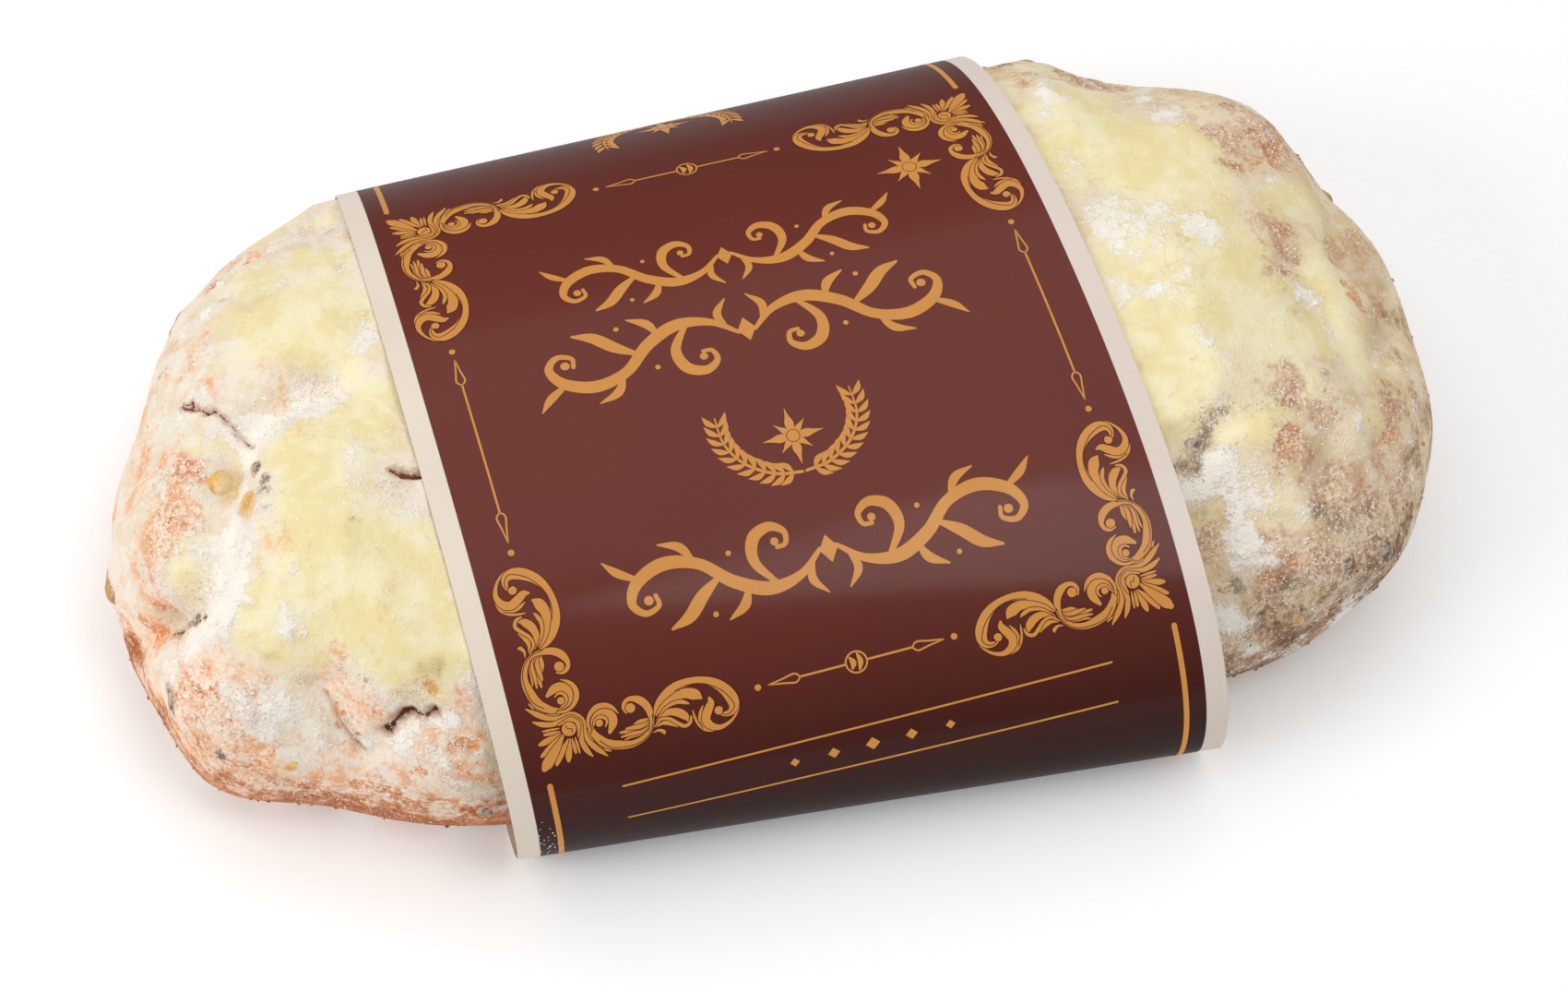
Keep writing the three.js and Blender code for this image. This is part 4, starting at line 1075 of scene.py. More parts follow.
# ---- the sleeve
PAPER_DEPTH = 0.15
PAPER_THICKNESS = 0.28
PAPER_COLUMNS = 420
PAPER_SPANS = 60
RIM_STEP = 0.06
WAVE_HEIGHT = 0.07
WAVE_SPACING = 38
WAVE_STRETCH = 1.3
# Sugar spilt on the print near the front left corner: middle and reach.
SPILL = np.array([-60.6, -65.0, 20.0])
SPILL_SIZE = np.array([1.3, 5.0, 5.0])


def paper_wave(x, y):
    """Small swells of the paper, that bend what it reflects."""
    spots = np.stack([x / WAVE_STRETCH, y, np.zeros_like(x)], -1)
    return WAVE_HEIGHT * gradient_noise(spots, WAVE_SPACING, 91)


def on_sleeve(across, down, lift):
    """Points on the sleeve's outer face, lifted off it by so many millimetres."""
    x = across + SLEEVE_MIDDLE
    from_crown = down - CROWN_DOWN[0] - CROWN_DOWN[1] * across
    arc = np.abs(from_crown)
    back, front = (walked(angle_after(x, arc, side), side) for side in ("back", "front"))
    angle = np.where(from_crown > 0, front, back)
    return sleeve_point(x, angle, PAPER_DEPTH + paper_wave(x, down) - lift)


def sleeve_ring(x, thick):
    """One ring of the paper, so many millimetres under its outer face."""
    half = PAPER_COLUMNS // 2
    spot = np.full(half, x)
    share = np.arange(half) / half
    ring = []
    for side, shares, sign in (("back", share, -1), ("front", 1 - share, 1)):
        whole = [row[0][-1] for row in ARCS[side]]
        arc = shares * np.interp(station_of(x), np.arange(STATIONS), whole)
        inward = PAPER_DEPTH + paper_wave(spot, CROWN_DOWN[0] + sign * arc) + thick
        ring.append(sleeve_point(spot, walked(angle_after(spot, arc, side), side), inward))
    return np.concatenate(ring)


def make_sleeve():
    xs = np.linspace(*SLEEVE_X, PAPER_SPANS + 1)
    xs = np.concatenate([xs[:1], xs[:1] + RIM_STEP, xs[1:-1], xs[-1:] - RIM_STEP, xs[-1:]])
    rings = [sleeve_ring(x, 0.0) for x in xs] + [sleeve_ring(x, PAPER_THICKNESS) for x in xs[::-1]]
    faces = ring_faces(len(rings), PAPER_COLUMNS, closed=True)
    printed = [0 if face[0] // PAPER_COLUMNS < len(xs) - 1 else 1 for face in faces]
    points = np.concatenate(rings)
    spill = hill(length_of((points - SPILL) / SPILL_SIZE), 1)
    spill[len(xs) * PAPER_COLUMNS:] = 0
    return new_piece("printed_sleeve", points, faces,
                     [print_material(), plain_paper_material()], ("sleeve",),
                     face_materials=printed, marks={"sugar": spill})


# ---- paper and inks
PRINT_HALF_WIDTH = 60.0
PRINT_EDGE = 0.06
INK = {"Roughness": 0.5, "Specular IOR Level": 0.05, "Coat Roughness": 0.14, "Coat IOR": 1.5}


def gloss(place):
    """The varnish is thinner towards the back and low down, dimming its reflections there: painted shade on
    those parts.
    """
    backward = place.part("Y").step(15 * MM, 60 * MM)
    raised = place.part("Z").step(15 * MM, 35 * MM)
    return 0.11 - 0.14 * backward + 0.13 * raised


def print_material():
    def build(place):
        x = place.part("X")
        off = abs(x - (SLEEVE_MIDDLE + CENTRING[0]) * MM)
        margin = off.step((PRINT_HALF_WIDTH - PRINT_EDGE) * MM, (PRINT_HALF_WIDTH + PRINT_EDGE) * MM)
        tone = place.noise(30, 2)
        upper = tone.blend(colour(110, 50, 41), colour(104, 46, 37))
        # The brown darkens to near black low on the front: painted shade, the lower front lying out of the
        # light.
        brown = place.part("Z").step(14 * MM, 58 * MM).blend(colour(40, 9, 5), upper)
        # The right margin is drawn a little darker than the left: painted shade, as the light comes from the
        # left.
        cream = x.step(-60 * MM, 60 * MM).blend(
            tone.blend(colour(238, 226, 211), colour(228, 213, 197)),
            tone.blend(colour(230, 217, 206), colour(220, 205, 194)))
        return {"Base Color": margin.blend(brown, cream), "Coat Weight": gloss(place)}

    return new_material("brown print", build, **INK)


def plain_paper_material():
    def build(place):
        fibre = place.noise(2.0, 3)
        return {"Base Color": fibre.blend(colour(238, 230, 216), colour(226, 215, 198))}

    return new_material("cream paper", build, Roughness=0.7)


def gold_ink_material():
    def build(place):
        tone = place.noise(9, 2)
        # Higher up the gold is drawn darker: painted shade, the top lying less in the light.
        raised = place.part("Z").step(15 * MM, 45 * MM)
        gold = tone.blend(raised.blend(colour(220, 148, 68), colour(204, 138, 66)),
                          raised.blend(colour(228, 158, 78), colour(212, 148, 74)))
        return {"Base Color": gold, "Coat Weight": gloss(place)}

    return new_material("gold ink", build, **INK)


def dark_ink_material():
    def build(place):
        return {"Base Color": colour(84, 34, 26), "Coat Weight": gloss(place)}

    return new_material("dark ink", build, **INK)


# ---- drawing on the sleeve
GOLD_INK = 0
DARK_INK = 1
STROKE_STEP = 0.45
THINNEST = 0.03
OUTLINE = 0.14
FIRST_LIFT = 0.035
LEVEL_LIFT = 0.006
ROUND_END = (0.98, 0.85, 0.5)
DISC_ROWS = 11


def spline(knots, step=STROKE_STEP):
    """A smooth run through knots of (across, down, half width), about one point every step."""
    knots = np.asarray(knots, float)
    padded = np.vstack([2 * knots[0] - knots[1], knots, 2 * knots[-1] - knots[-2]])
    run = []
    for i in range(len(knots) - 1):
        reach = np.hypot(*(knots[i + 1] - knots[i])[:2])
        count = max(2, int(np.ceil(reach / step)))
        run.append(smooth_curve(*padded[i:i + 4], (np.arange(count) / count)[:, None]))
    run = np.concatenate([*run, knots[-1:]])
    run[:, 2] = np.maximum(run[:, 2], THINNEST)
    return run


def headings_of(run):
    along = np.gradient(run[:, :2], axis=0)
    return along / (length_of(along)[:, None] + 1e-9)


def with_round_ends(run):
    along = headings_of(run)
    ends = []
    for end, heading, shares in ((run[0], -along[0], ROUND_END), (run[-1], along[-1], ROUND_END[::-1])):
        ends.append([(*(end[:2] + heading * end[2] * s), end[2] * math.sqrt(1 - s * s)) for s in shares])
    return np.vstack([ends[0], run, ends[1]])


def placed(across=0, down=0, right=1, below=1, swapped=False):
    """A function that scales or mirrors spots of (across, down) and moves them there."""
    def place(spots):
        spots = spots[:, ::-1] if swapped else spots
        return np.column_stack([across + right * spots[:, 0], down + below * spots[:, 1]])

    return place


class Drawing:
    """Flat strokes of two inks, gathered into one mesh on the sleeve."""

    def __init__(self):
        self.points = []
        self.faces = []
        self.inks = []
        self.count = 0

    def strip(self, left, right, level, ink):
        rows = len(left)
        both = np.stack([left, right], 1).reshape(-1, 2)
        lift = FIRST_LIFT + LEVEL_LIFT * level
        self.points.append(np.column_stack([both, np.full(len(both), lift)]))
        for row in range(rows - 1):
            a = self.count + 2 * row
            self.faces.append((a, a + 1, a + 3, a + 2))
            self.inks.append(ink)
        self.count += 2 * rows

    def line(self, knots, level, ink, place, extra=0.0):
        knots = np.asarray(knots, float)
        run = spline(np.column_stack([place(knots[:, :2]), knots[:, 2]]))
        run[:, 2] += extra
        run = with_round_ends(run)
        along = headings_of(run)
        across = np.stack([-along[:, 1], along[:, 0]], -1) * run[:, 2:3]
        self.strip(run[:, :2] + across, run[:, :2] - across, level, ink)

    def stroke(self, knots, level=2, place=placed(), outlined=False):
        """A gold stroke through (across, down, half width), with a thin dark outline if wanted."""
        if outlined:
            self.line(knots, level - 0.5, DARK_INK, place, OUTLINE)
        self.line(knots, level, GOLD_INK, place)

    def disc(self, centre, radius, level, ink):
        polar = np.linspace(0, math.pi, DISC_ROWS)
        down = centre[1] + radius * np.cos(polar)
        left = np.column_stack([centre[0] + radius * np.sin(polar), down])
        right = np.column_stack([centre[0] - radius * np.sin(polar), down])
        self.strip(left, right, level, ink)

    def dot(self, centre, radius, level=2, place=placed(), ink=GOLD_INK, outlined=False):
        centre = place(np.array([centre], float))[0]
        if outlined:
            self.disc(centre, radius + OUTLINE, level - 0.5, DARK_INK)
        self.disc(centre, radius, level, ink)

    def finish(self, name, materials):
        flat = np.concatenate(self.points)
        faces = []
        for face in self.faces:
            a, b, c, d = (flat[i, :2] for i in face)
            (px, py), (qx, qy) = c - a, d - b
            faces.append(face if px * qy < py * qx else face[::-1])
        return new_piece(name, on_sleeve(*flat.T), faces, materials,
                         face_materials=self.inks)


# ---- ornaments
# One arm of a corner ornament: level and knots of (along, in, half width). One knot is a ball.
CORNER_ARM = [
    # Scroll
    (1, [(10.03, 5.78, 0.3), (10.1, 4.65, 0.5), (10.65, 3.53, 0.68), (11.97, 2.1, 0.8),
     (14.1, 1.25, 0.78), (16.35, 0.9, 0.6), (18.6, 1.6, 0.45), (19.93, 3.03, 0.42), (20.35, 4.9, 0.5),
     (20.05, 6.78, 0.65), (19.05, 8.15, 0.68), (17.6, 8.78, 0.42), (16.55, 8.45, 0.35),
     (16.1, 7.53, 0.3), (16.35, 6.6, 0.2)]),
    # Scroll ball
    (2, [(17.23, 7.2, 0.85)]),
    # Feather
    (2, [(19.8, 4.65, 0.07), (19.1, 4.45, 0.35), (18.1, 4.35, 0.42), (16.98, 4.1, 0.12)]),
    (3, [(19.8, 4.15, 0.07), (18.6, 3.65, 0.33), (17.1, 3.7, 0.38), (15.72, 3.85, 0.17)]),
    (2, [(19.75, 3.65, 0.07), (18.35, 3.1, 0.3), (16.35, 3.28, 0.38), (14.6, 3.4, 0.2)]),
    (3, [(19.6, 3.15, 0.07), (18.1, 2.65, 0.28), (16.35, 2.7, 0.3), (14.65, 2.6, 0.15)]),
    (2, [(19.4, 2.78, 0.07), (17.85, 2.28, 0.23), (16.35, 2.2, 0.23), (15.1, 1.95, 0.1)]),
    # Hook
    (2, [(9.65, 4.9, 0.15), (9.65, 6.35, 0.35), (10.3, 7.78, 0.47), (11.6, 8.78, 0.5),
     (13.1, 8.78, 0.47), (14.22, 8.03, 0.38), (15.03, 6.83, 0.07)]),
    # Hook tongue
    (3, [(10.1, 5.4, 0.15), (10.35, 6.65, 0.35), (11.35, 7.53, 0.5),
     (12.72, 7.65, 0.65), (13.72, 6.78, 0.8), (13.72, 5.4, 0.75), (12.85, 3.95, 0.3)]),
    # Hook curl
    (4, [(10.4, 5.78, 0.12), (10.85, 6.65, 0.25), (11.72, 7.03, 0.3), (12.6, 6.65, 0.28),
     (12.8, 5.9, 0.2), (12.35, 5.15, 0.12)]),
    # Hook ball
    (5, [(11.47, 6.03, 0.65)]),
    # Arm
    (2, [(20.93, 4.85, 0.12), (21.73, 6.35, 0.45), (23.35, 7.78, 0.7), (25.6, 8.78, 0.78),
     (28.35, 9.1, 0.62), (31.1, 8.45, 0.68), (33.1, 7.03, 0.9), (34.4, 5.03, 1.05),
     (34.73, 3.28, 0.93), (34.1, 2.15, 0.65), (32.98, 1.9, 0.45), (32.1, 2.28, 0.3)]),
    # Arm ball
    (3, [(31.93, 2.85, 0.75)]),
    # Counter leaf
    (1, [(30.8, 5.45, 0.2), (30.9, 4.53, 0.6), (30.1, 3.28, 0.75), (29.43, 1.9, 0.75),
     (29.98, 0.53, 0.68), (31.6, -0.17, 0.45), (33.6, 0.47, 0.25), (35.1, 1.9, 0.15),
     (35.75, 3.28, 0.07)]),
    # Outer leaf
    (0, [(27.53, 4.03, 0.07), (27.68, 2.65, 0.25), (28.23, 1.15, 0.38),
     (29.1, 0.03, 0.33), (30.23, -0.55, 0.1)]),
    (0, [(29.43, 4.35, 0.1), (28.75, 3.28, 0.28), (28.5, 2.15, 0.33),
     (28.85, 0.78, 0.28)]),
    # Tongue
    (3, [(21.23, 4.78, 0.1), (22.6, 6.03, 0.35), (24.6, 6.95, 0.55), (26.85, 7.28, 0.85),
     (28.6, 6.6, 0.95), (29.43, 5.78, 0.25)]),
    (4, [(21.48, 4.4, 0.07), (23.1, 5.65, 0.23), (25.1, 6.15, 0.33), (26.48, 5.78, 0.35),
     (27.15, 5.35, 0.12)]),
    (3, [(20.8, 3.15, 0.1), (21.73, 4.15, 0.35), (23.35, 4.78, 0.55), (25.1, 4.28, 0.75),
     (26.1, 3.28, 0.65), (26.3, 2.6, 0.23)]),
    (4, [(20.6, 2.9, 0.1), (21.85, 3.9, 0.23), (23.35, 3.6, 0.28), (24.48, 2.53, 0.33),
     (25.65, 1.65, 0.33), (26.73, 2.1, 0.28), (27.05, 3.1, 0.15)]),
    (3, [(20.73, 2.78, 0.07), (21.98, 3.15, 0.3), (23.23, 2.85, 0.42), (24.4, 2.03, 0.25)]),
    (2, [(20.15, 1.95, 0.07), (21.1, 2.1, 0.23), (21.9, 1.6, 0.33), (21.9, 1.25, 0.17)]),
    # Petal
    (2, [(5.65, 4.65, 0.12), (4.6, 3.28, 0.45), (3.48, 1.78, 0.55), (2.8, 0.65, 0.3)]),
    (1, [(6, 4.6, 0.12), (5.55, 3.15, 0.4), (5.1, 1.65, 0.55), (4.9, 0.78, 0.3)]),
    (2, [(6.35, 4.53, 0.1), (6.35, 3.28, 0.3), (6.4, 1.95, 0.23)]),
    (1, [(6.9, 4.6, 0.1), (6.97, 3.15, 0.23), (7.05, 1.78, 0.15)]),
    # Band
    (2, [(7.35, 8.28, 0.2), (8.3, 7.03, 0.38), (8.05, 5.4, 0.4), (7.85, 3.65, 0.42),
     (8.3, 1.9, 0.45), (9.05, 0.53, 0.15)]),
    (3, [(5.65, 7.78, 0.25), (6.85, 8.03, 0.3), (7.72, 7.28, 0.3), (7.85, 6.03, 0.25),
     (7.47, 4.65, 0.15)]),
    (1, [(7.6, 8.9, 0.2), (8.47, 8.03, 0.3), (8.97, 6.65, 0.33), (8.72, 5.15, 0.3),
     (8.97, 3.4, 0.4), (10.1, 1.65, 0.5), (11.55, -0.1, 0.12)]),
    (0, [(9.1, 6.65, 0.15), (9.3, 4.65, 0.25), (9.85, 2.9, 0.35), (10.97, 1.53, 0.33),
     (12.28, 0.6, 0.12)]),
]
CORNER_VEINS = [
    [(10.85, 2.9), (12.35, 1.35), (14.6, 0.72), (17.1, 0.72),
     (19.1, 1.65), (20.3, 3.28), (20.65, 5.15)],
    [(9.9, 5.4), (10.1, 6.9), (11.1, 8.03), (12.6, 8.4), (13.85, 7.9),
     (14.72, 7.03)],
    [(25.35, 8.15), (27.85, 8.6), (30.6, 8.03), (33.1, 6.28),
     (34.35, 4.4), (34.73, 2.9), (33.98, 2.03), (32.85, 1.78),
     (32.48, 2.28), (32.73, 2.9)],
    [(28.6, 0.4), (28.1, 1.9), (27.85, 3.15)],
    [(9.85, 3.65), (10.22, 2.4), (11.35, 1.15)],
]
VEIN_WIDTH = 0.07
CORNER_BUD = [(5.47, 4.95, 0.2), (4.1, 3.85, 0.55), (2.6, 2.53, 0.85), (1.1, 1.2, 0.95), (0.4, 0.6, 0.55)]
CORNER_EYE = ((6.35, 6.2), 1.25)
CORNER_EYE_VEIN = [(5.6, 6.6, 0.06), (6.3, 6.7, 0.08), (6.4, 6.0, 0.08), (7.1, 5.8, 0.06)]
CORNER_ACROSS = 57.1
# How far down the corners' tips lie, and which way their arms run from there.
CORNER_DOWN = ((43.9, -1), (-75.0, 1))
# A mirrored flourish: one half, from the middle outwards.
FLOURISH = [
    [(1.5, 0.3, 0.3), (6, -3.3, 0.6), (12, -4.3, 0.95), (18, -1.5, 0.9), (23, 3.0, 0.8),
     (29, 4.6, 0.95), (34.3, 2.6, 0.85), (36.3, -0.9, 0.6), (34.4, -3.2, 0.45), (31.8, -2.4, 0.35),
     (31.9, -0.5, 0.3)],
    [(10, -4.3, 0.3), (13.4, 0.8, 0.7), (12.6, 5.0, 0.85), (9.4, 6.5, 0.7), (6.9, 5.0, 0.45),
     (7.2, 2.8, 0.35), (8.8, 2.5, 0.3)],
    [(19.6, 0.3, 0.2), (23.8, -2.6, 0.85), (27.0, -5.6, 0.85), (30.5, -7.0, 0.2)],
    [(15.6, -2.8, 0.2), (17.0, -6.0, 0.7), (20.2, -7.9, 0.15)],
    [(23.6, 3.4, 0.2), (25.6, 6.8, 0.65), (29.2, 8.2, 0.12)],
    [(34.0, 2.8, 0.3), (37.4, 5.0, 0.6), (39.6, 7.4, 0.1)],
    [(3.2, -1.2, 0.2), (4.2, -4.6, 0.6), (2.0, -7.6, 0.12)],
]
FLOURISH_DOTS = [(33.3, -1.1, 0.85), (9.0, 3.6, 0.75), (22.5, -6.4, 0.5), (17.5, 3.6, 0.5)]
FLOURISH_WEIGHT = 1.3
# The kites of a star: share of their reach, and half width there.
KITE = ((0.1, 0.05), (0.42, 0.15), (0.7, 0.07), (1.0, 0.005))
STAR_POINTS = 8
SHORT_POINT = 0.72
SPRAY_STEM = [
    (0.4, -7.4, 0.28), (5.0, -6.6, 0.3), (9.6, -3.6, 0.28), (12.2, 1.0, 0.22), (12.4, 6.4, 0.12),
]
LEAF_SPACING = 2.3
DIVIDER_SPEAR = [(-1.8, 0, 0.12), (-4.5, 0.42, 0.16), (-6.6, 0.78, 0.17), (-7.5, 0, 0.15)]
DIVIDER_MARKS = (
    [(-1.0, -1.0, 0.2), (-0.55, 0, 0.55), (-0.9, 1.0, 0.2)],
    [(0.4, -1.5, 0.15), (0.75, 0, 0.5), (0.3, 1.4, 0.2)],
)


def draw_corner(drawing, tip_across, tip_down, right, downward):
    for swapped in (False, True):
        place = placed(tip_across, tip_down, right, downward, swapped)
        for level, knots in CORNER_ARM:
            if len(knots) == 1:
                drawing.dot(knots[0][:2], knots[0][2], level, place, outlined=True)
            else:
                drawing.stroke(knots, level, place, outlined=True)
        for knots in CORNER_VEINS:
            drawing.line([(*spot, VEIN_WIDTH) for spot in knots], 6, DARK_INK, place)
    drawing.stroke(CORNER_BUD, 3, place, outlined=True)
    drawing.dot(*CORNER_EYE, 5, place, outlined=True)
    drawing.line(CORNER_EYE_VEIN, 7, DARK_INK, place)


def draw_divider(drawing, across, down, half_length, upright):
    """A rule with a spear at each end and, if it lies flat, a ball in its middle."""
    for side in (-1, 1):
        place = placed(across, down, *((1, side) if upright else (side, 1)), swapped=upright)
        drawing.dot((half_length + 0.1, 0), 0.58, place=place)
        for edge in (-1, 1):
            drawing.stroke([(half_length + x, y * edge, w) for x, y, w in DIVIDER_SPEAR], place=place)
        drawing.stroke([(half_length - 7.4, 0, 0.2), (0 if upright else 2.1, 0, 0.2)], place=place)
    if not upright:
        drawing.dot((0, 0), 2.05, 2, place)
        drawing.dot((0, 0), 1.72, 3, place, DARK_INK)
        for knots in DIVIDER_MARKS:
            drawing.stroke(knots, 4, place)


def draw_flourish(drawing, across, down, size, flip=1):
    for side in (-1, 1):
        place = placed(across, down, side * size, flip * size)
        for knots in FLOURISH:
            drawing.stroke([(x, y, FLOURISH_WEIGHT * w * size) for x, y, w in knots], place=place)
        for x, y, radius in FLOURISH_DOTS:
            drawing.dot((x, y), radius * size, 3, place)
    draw_lozenge(drawing, across, down, 1.7 * size, 2.6 * size)


def draw_lozenge(drawing, across, down, half_width, half_height):
    upright = np.array([(across, down - half_height), (across, down), (across, down + half_height)])
    sideways = np.array([(0, 0), (half_width, 0), (0, 0)])
    drawing.strip(upright + sideways, upright - sideways, 2, GOLD_INK)


def draw_star(drawing, across, down, size):
    """A star of narrow kites round a disc."""
    for i in range(STAR_POINTS):
        angle = FULL_TURN * i / STAR_POINTS
        reach = size * (SHORT_POINT if i % 2 else 1)
        heading = np.array([math.sin(angle), -math.cos(angle)])
        knots = [(*(np.array([across, down]) + heading * reach * share), reach * width)
                 for share, width in KITE]
        drawing.stroke(knots, outlined=True)
    drawing.dot((across, down), size * 0.2, 4, outlined=True)


def draw_spray(drawing, across, down, size, side, flip):
    """A curved stem with pairs of leaves, from below the star up round its side."""
    place = placed(across, down, side * size, -flip * size)
    drawing.stroke([(x, y, w * size) for x, y, w in SPRAY_STEM], place=place)
    run = spline(SPRAY_STEM, LEAF_SPACING)
    for i, (x, y, _) in enumerate(run[1:-1], 1):
        ahead = run[i + 1, :2] - run[i - 1, :2]
        ahead /= np.hypot(*ahead)
        beside = np.array([-ahead[1], ahead[0]])
        for edge in (-1, 1):
            middle = run[i, :2] + 1.1 * ahead + 1.35 * edge * beside
            tip = run[i, :2] + 2.6 * ahead + 2.1 * edge * beside
            leaf = [(x, y, 0.1 * size), (*middle, 0.55 * size), (*tip, 0.06 * size)]
            drawing.stroke(leaf, place=place)


def draw_emblem(drawing, across, down, flip=1):
    draw_star(drawing, across, down + flip * 0.4, 5.6)
    for side in (-1, 1):
        draw_spray(drawing, across, down, 1.0, side, flip)


def make_print():
    drawing = Drawing()
    for tip_down, downward in CORNER_DOWN:
        for side in (-1, 1):
            draw_corner(drawing, side * CORNER_ACROSS, tip_down, -side, downward)
    for down in (38.9, -69.9):
        draw_divider(drawing, 0, down, 17.6, upright=False)
    for across in (-52.75, 52.75):
        draw_divider(drawing, across, -15.45, 20.8, upright=True)
    for down in (50.6, 58.4):
        drawing.stroke([(x, down, 0.2) for x in np.linspace(-44, 44, 9)])
    for across in (-56.3, 56.3):
        for first, last in ((47, 92), (-78, -125)):
            drawing.stroke([(across, down, 0.5) for down in np.linspace(first, last, 12)])
    draw_flourish(drawing, 0, -44.0, 0.84, -1)
    draw_flourish(drawing, -1.0, -26.5, 1.0)
    draw_emblem(drawing, 0.5, -3.5)
    draw_flourish(drawing, 0.5, 18.5, 0.98, -1)
    draw_emblem(drawing, 0.5, -91.5, -1)
    draw_star(drawing, 39.5, -55.75, 6.4)
    for i in range(-2, 3):
        reach = 1.3 - 0.2 * abs(i)
        draw_lozenge(drawing, 7.0 * i, 54.5, reach, reach)
    return drawing.finish("gold_print", [gold_ink_material(), dark_ink_material()])


# ---- fruit
# Of each kind: depth of its wrinkles, how much the clinging sugar leaves bare, and its colours.
WRINKLES = {"raisin": 0.1, "sultana": 0.07, "peel": 0.03}
FRUIT_BARE = {"raisin": 0.45, "sultana": 0.6, "peel": 0.58}
FRUIT_COLOURS = {
    "raisin": (colour(142, 114, 100), colour(98, 74, 64)),
    "sultana": (colour(196, 146, 74), colour(168, 112, 50)),
    "peel": (colour(234, 190, 96), colour(218, 158, 68)),
}
WRINKLE_FOLDS = 4
WRINKLE_TWIST = 2.1
FOLD_SHARE = 0.6
FOLD_SPACING = 0.55
FRUIT_SHRINK = 0.02
FRUIT_ROUND = 40
FRUIT_ALONG = 26


def fruit_points(index, name, at, size, proud, spin):
    polar = np.linspace(0, math.pi, FRUIT_ALONG + 1)[1:-1, None]
    round_it = np.arange(FRUIT_ROUND)[None, :] * FULL_TURN / FRUIT_ROUND
    y = np.cos(polar) + 0 * round_it
    unit = np.stack([np.sin(polar) * np.cos(round_it), y, np.sin(polar) * np.sin(round_it)], -1)
    unit = np.concatenate([unit.reshape(-1, 3), [(0, 1, 0), (0, -1, 0)]])
    around = np.arctan2(unit[:, 2], unit[:, 0])
    girth = np.sqrt(np.maximum(1 - unit[:, 1] ** 2, 0))
    crease = girth * np.sin(WRINKLE_FOLDS * around + WRINKLE_TWIST * unit[:, 1] + index)
    folds = np.abs(gradient_noise(unit + 7 * index, FOLD_SPACING, 71))
    swell = 1 + WRINKLES[kind_of(name)] * (crease - FOLD_SHARE * folds) - FRUIT_SHRINK
    upward = loaf_normal(*(np.float64(v) for v in at))
    seat = smooth_loaf(*at)
    seat = seat + upward * relief_at(seat)
    pose = Vector((0, 0, 1)).rotation_difference(Vector(upward)).to_matrix()
    pose = pose @ Matrix.Rotation(math.radians(spin), 3, "Z")
    centre = seat + upward * (proud - size[2] / 2)
    points = centre + (unit * swell[:, None] * np.array(size) / 2) @ np.array(pose).T
    return points, ((points - seat) @ upward) / proud


def fruit_material(kind):
    def build(place):
        tone = place.noise(2.2, 3)
        dust = place.noise(0.8, 4, 0.6)
        skin = tone.step(0.4, 0.6).blend(*FRUIT_COLOURS[kind])
        clinging = 1.6 * dust - 0.2 * place.mark("standing") - FRUIT_BARE[kind]
        sugar = clinging.step(0.0, 0.45) * 0.7
        return {"Base Color": sugar.blend(skin, colour(236, 220, 194)),
                "Normal": (0.3 * dust + 0.2 * tone).bump(0.6),
                "Roughness": 0.4 + 0.45 * sugar}

    return new_material(kind + " skin", build)


def make_fruit():
    faces = [face[::-1] for face in capped_faces(FRUIT_ALONG - 1, FRUIT_ROUND)]
    materials = {kind: fruit_material(kind) for kind in WRINKLES}
    for index, piece in enumerate(FRUIT):
        name = piece[0]
        kind = kind_of(name)
        points, standing = fruit_points(index, *piece)
        new_piece("sugared_" + name, points, faces, [materials[kind]], (name,),
                  marks={"standing": standing})


# ---- grains and crumbs strewn over a surface
STREWING_INPUTS = [
    ("Surface", "NodeSocketGeometry"), ("Mark", "NodeSocketString"), ("Density", "NodeSocketFloat"),
    ("Smallest", "NodeSocketFloat"), ("Largest", "NodeSocketFloat"), ("Rounding", "NodeSocketInt"),
    ("Seed", "NodeSocketInt"), ("Material", "NodeSocketMaterial"),
]


def strewing_tree():
    """Strews uneven grains over a mesh, thicker where the named mark on its points is higher."""
    tree = bpy.data.node_groups.new("strewing", "GeometryNodeTree")
    for name, kind in STREWING_INPUTS:
        tree.interface.new_socket(name, in_out="INPUT", socket_type=kind)
    tree.interface.new_socket("Geometry", in_out="OUTPUT", socket_type="NodeSocketGeometry")
    entry = tree.nodes.new("NodeGroupInput")
    given = {name: Wire(tree, entry.outputs[name]) for name, _ in STREWING_INPUTS}
    start = Wire(tree)
    mark = start.make("GeometryNodeInputNamedAttribute", {"data_type": "FLOAT"},
                      {"Name": given["Mark"]}, "Attribute")
    density = start.maths("MAXIMUM", mark * given["Density"], 0.0)
    spots = start.make("GeometryNodeDistributePointsOnFaces", {"distribute_method": "RANDOM"},
                       {"Mesh": given["Surface"], "Density": density, "Seed": given["Seed"]}, "Points")
    grain = start.make("GeometryNodeMeshIcoSphere", {},
                       {"Radius": 1.0, "Subdivisions": given["Rounding"]}, "Mesh")
    size = start.make("FunctionNodeRandomValue", {"data_type": "FLOAT_VECTOR"},
                      {0: given["Smallest"], 1: given["Largest"], "Seed": given["Seed"]})
    spin = start.make("FunctionNodeRandomValue", {"data_type": "FLOAT_VECTOR"},
                      {0: (0, 0, 0), 1: (FULL_TURN,) * 3, "Seed": given["Seed"]})
    strewn = start.make("GeometryNodeInstanceOnPoints", {},
                        {"Points": spots, "Instance": grain, "Rotation": spin, "Scale": size})
    solid = start.make("GeometryNodeRealizeInstances", {}, {"Geometry": strewn})
    painted = start.make("GeometryNodeSetMaterial", {},
                         {"Geometry": solid, "Material": given["Material"]})
    start.make("NodeGroupOutput", {}, {"Geometry": painted}, None)
    return tree


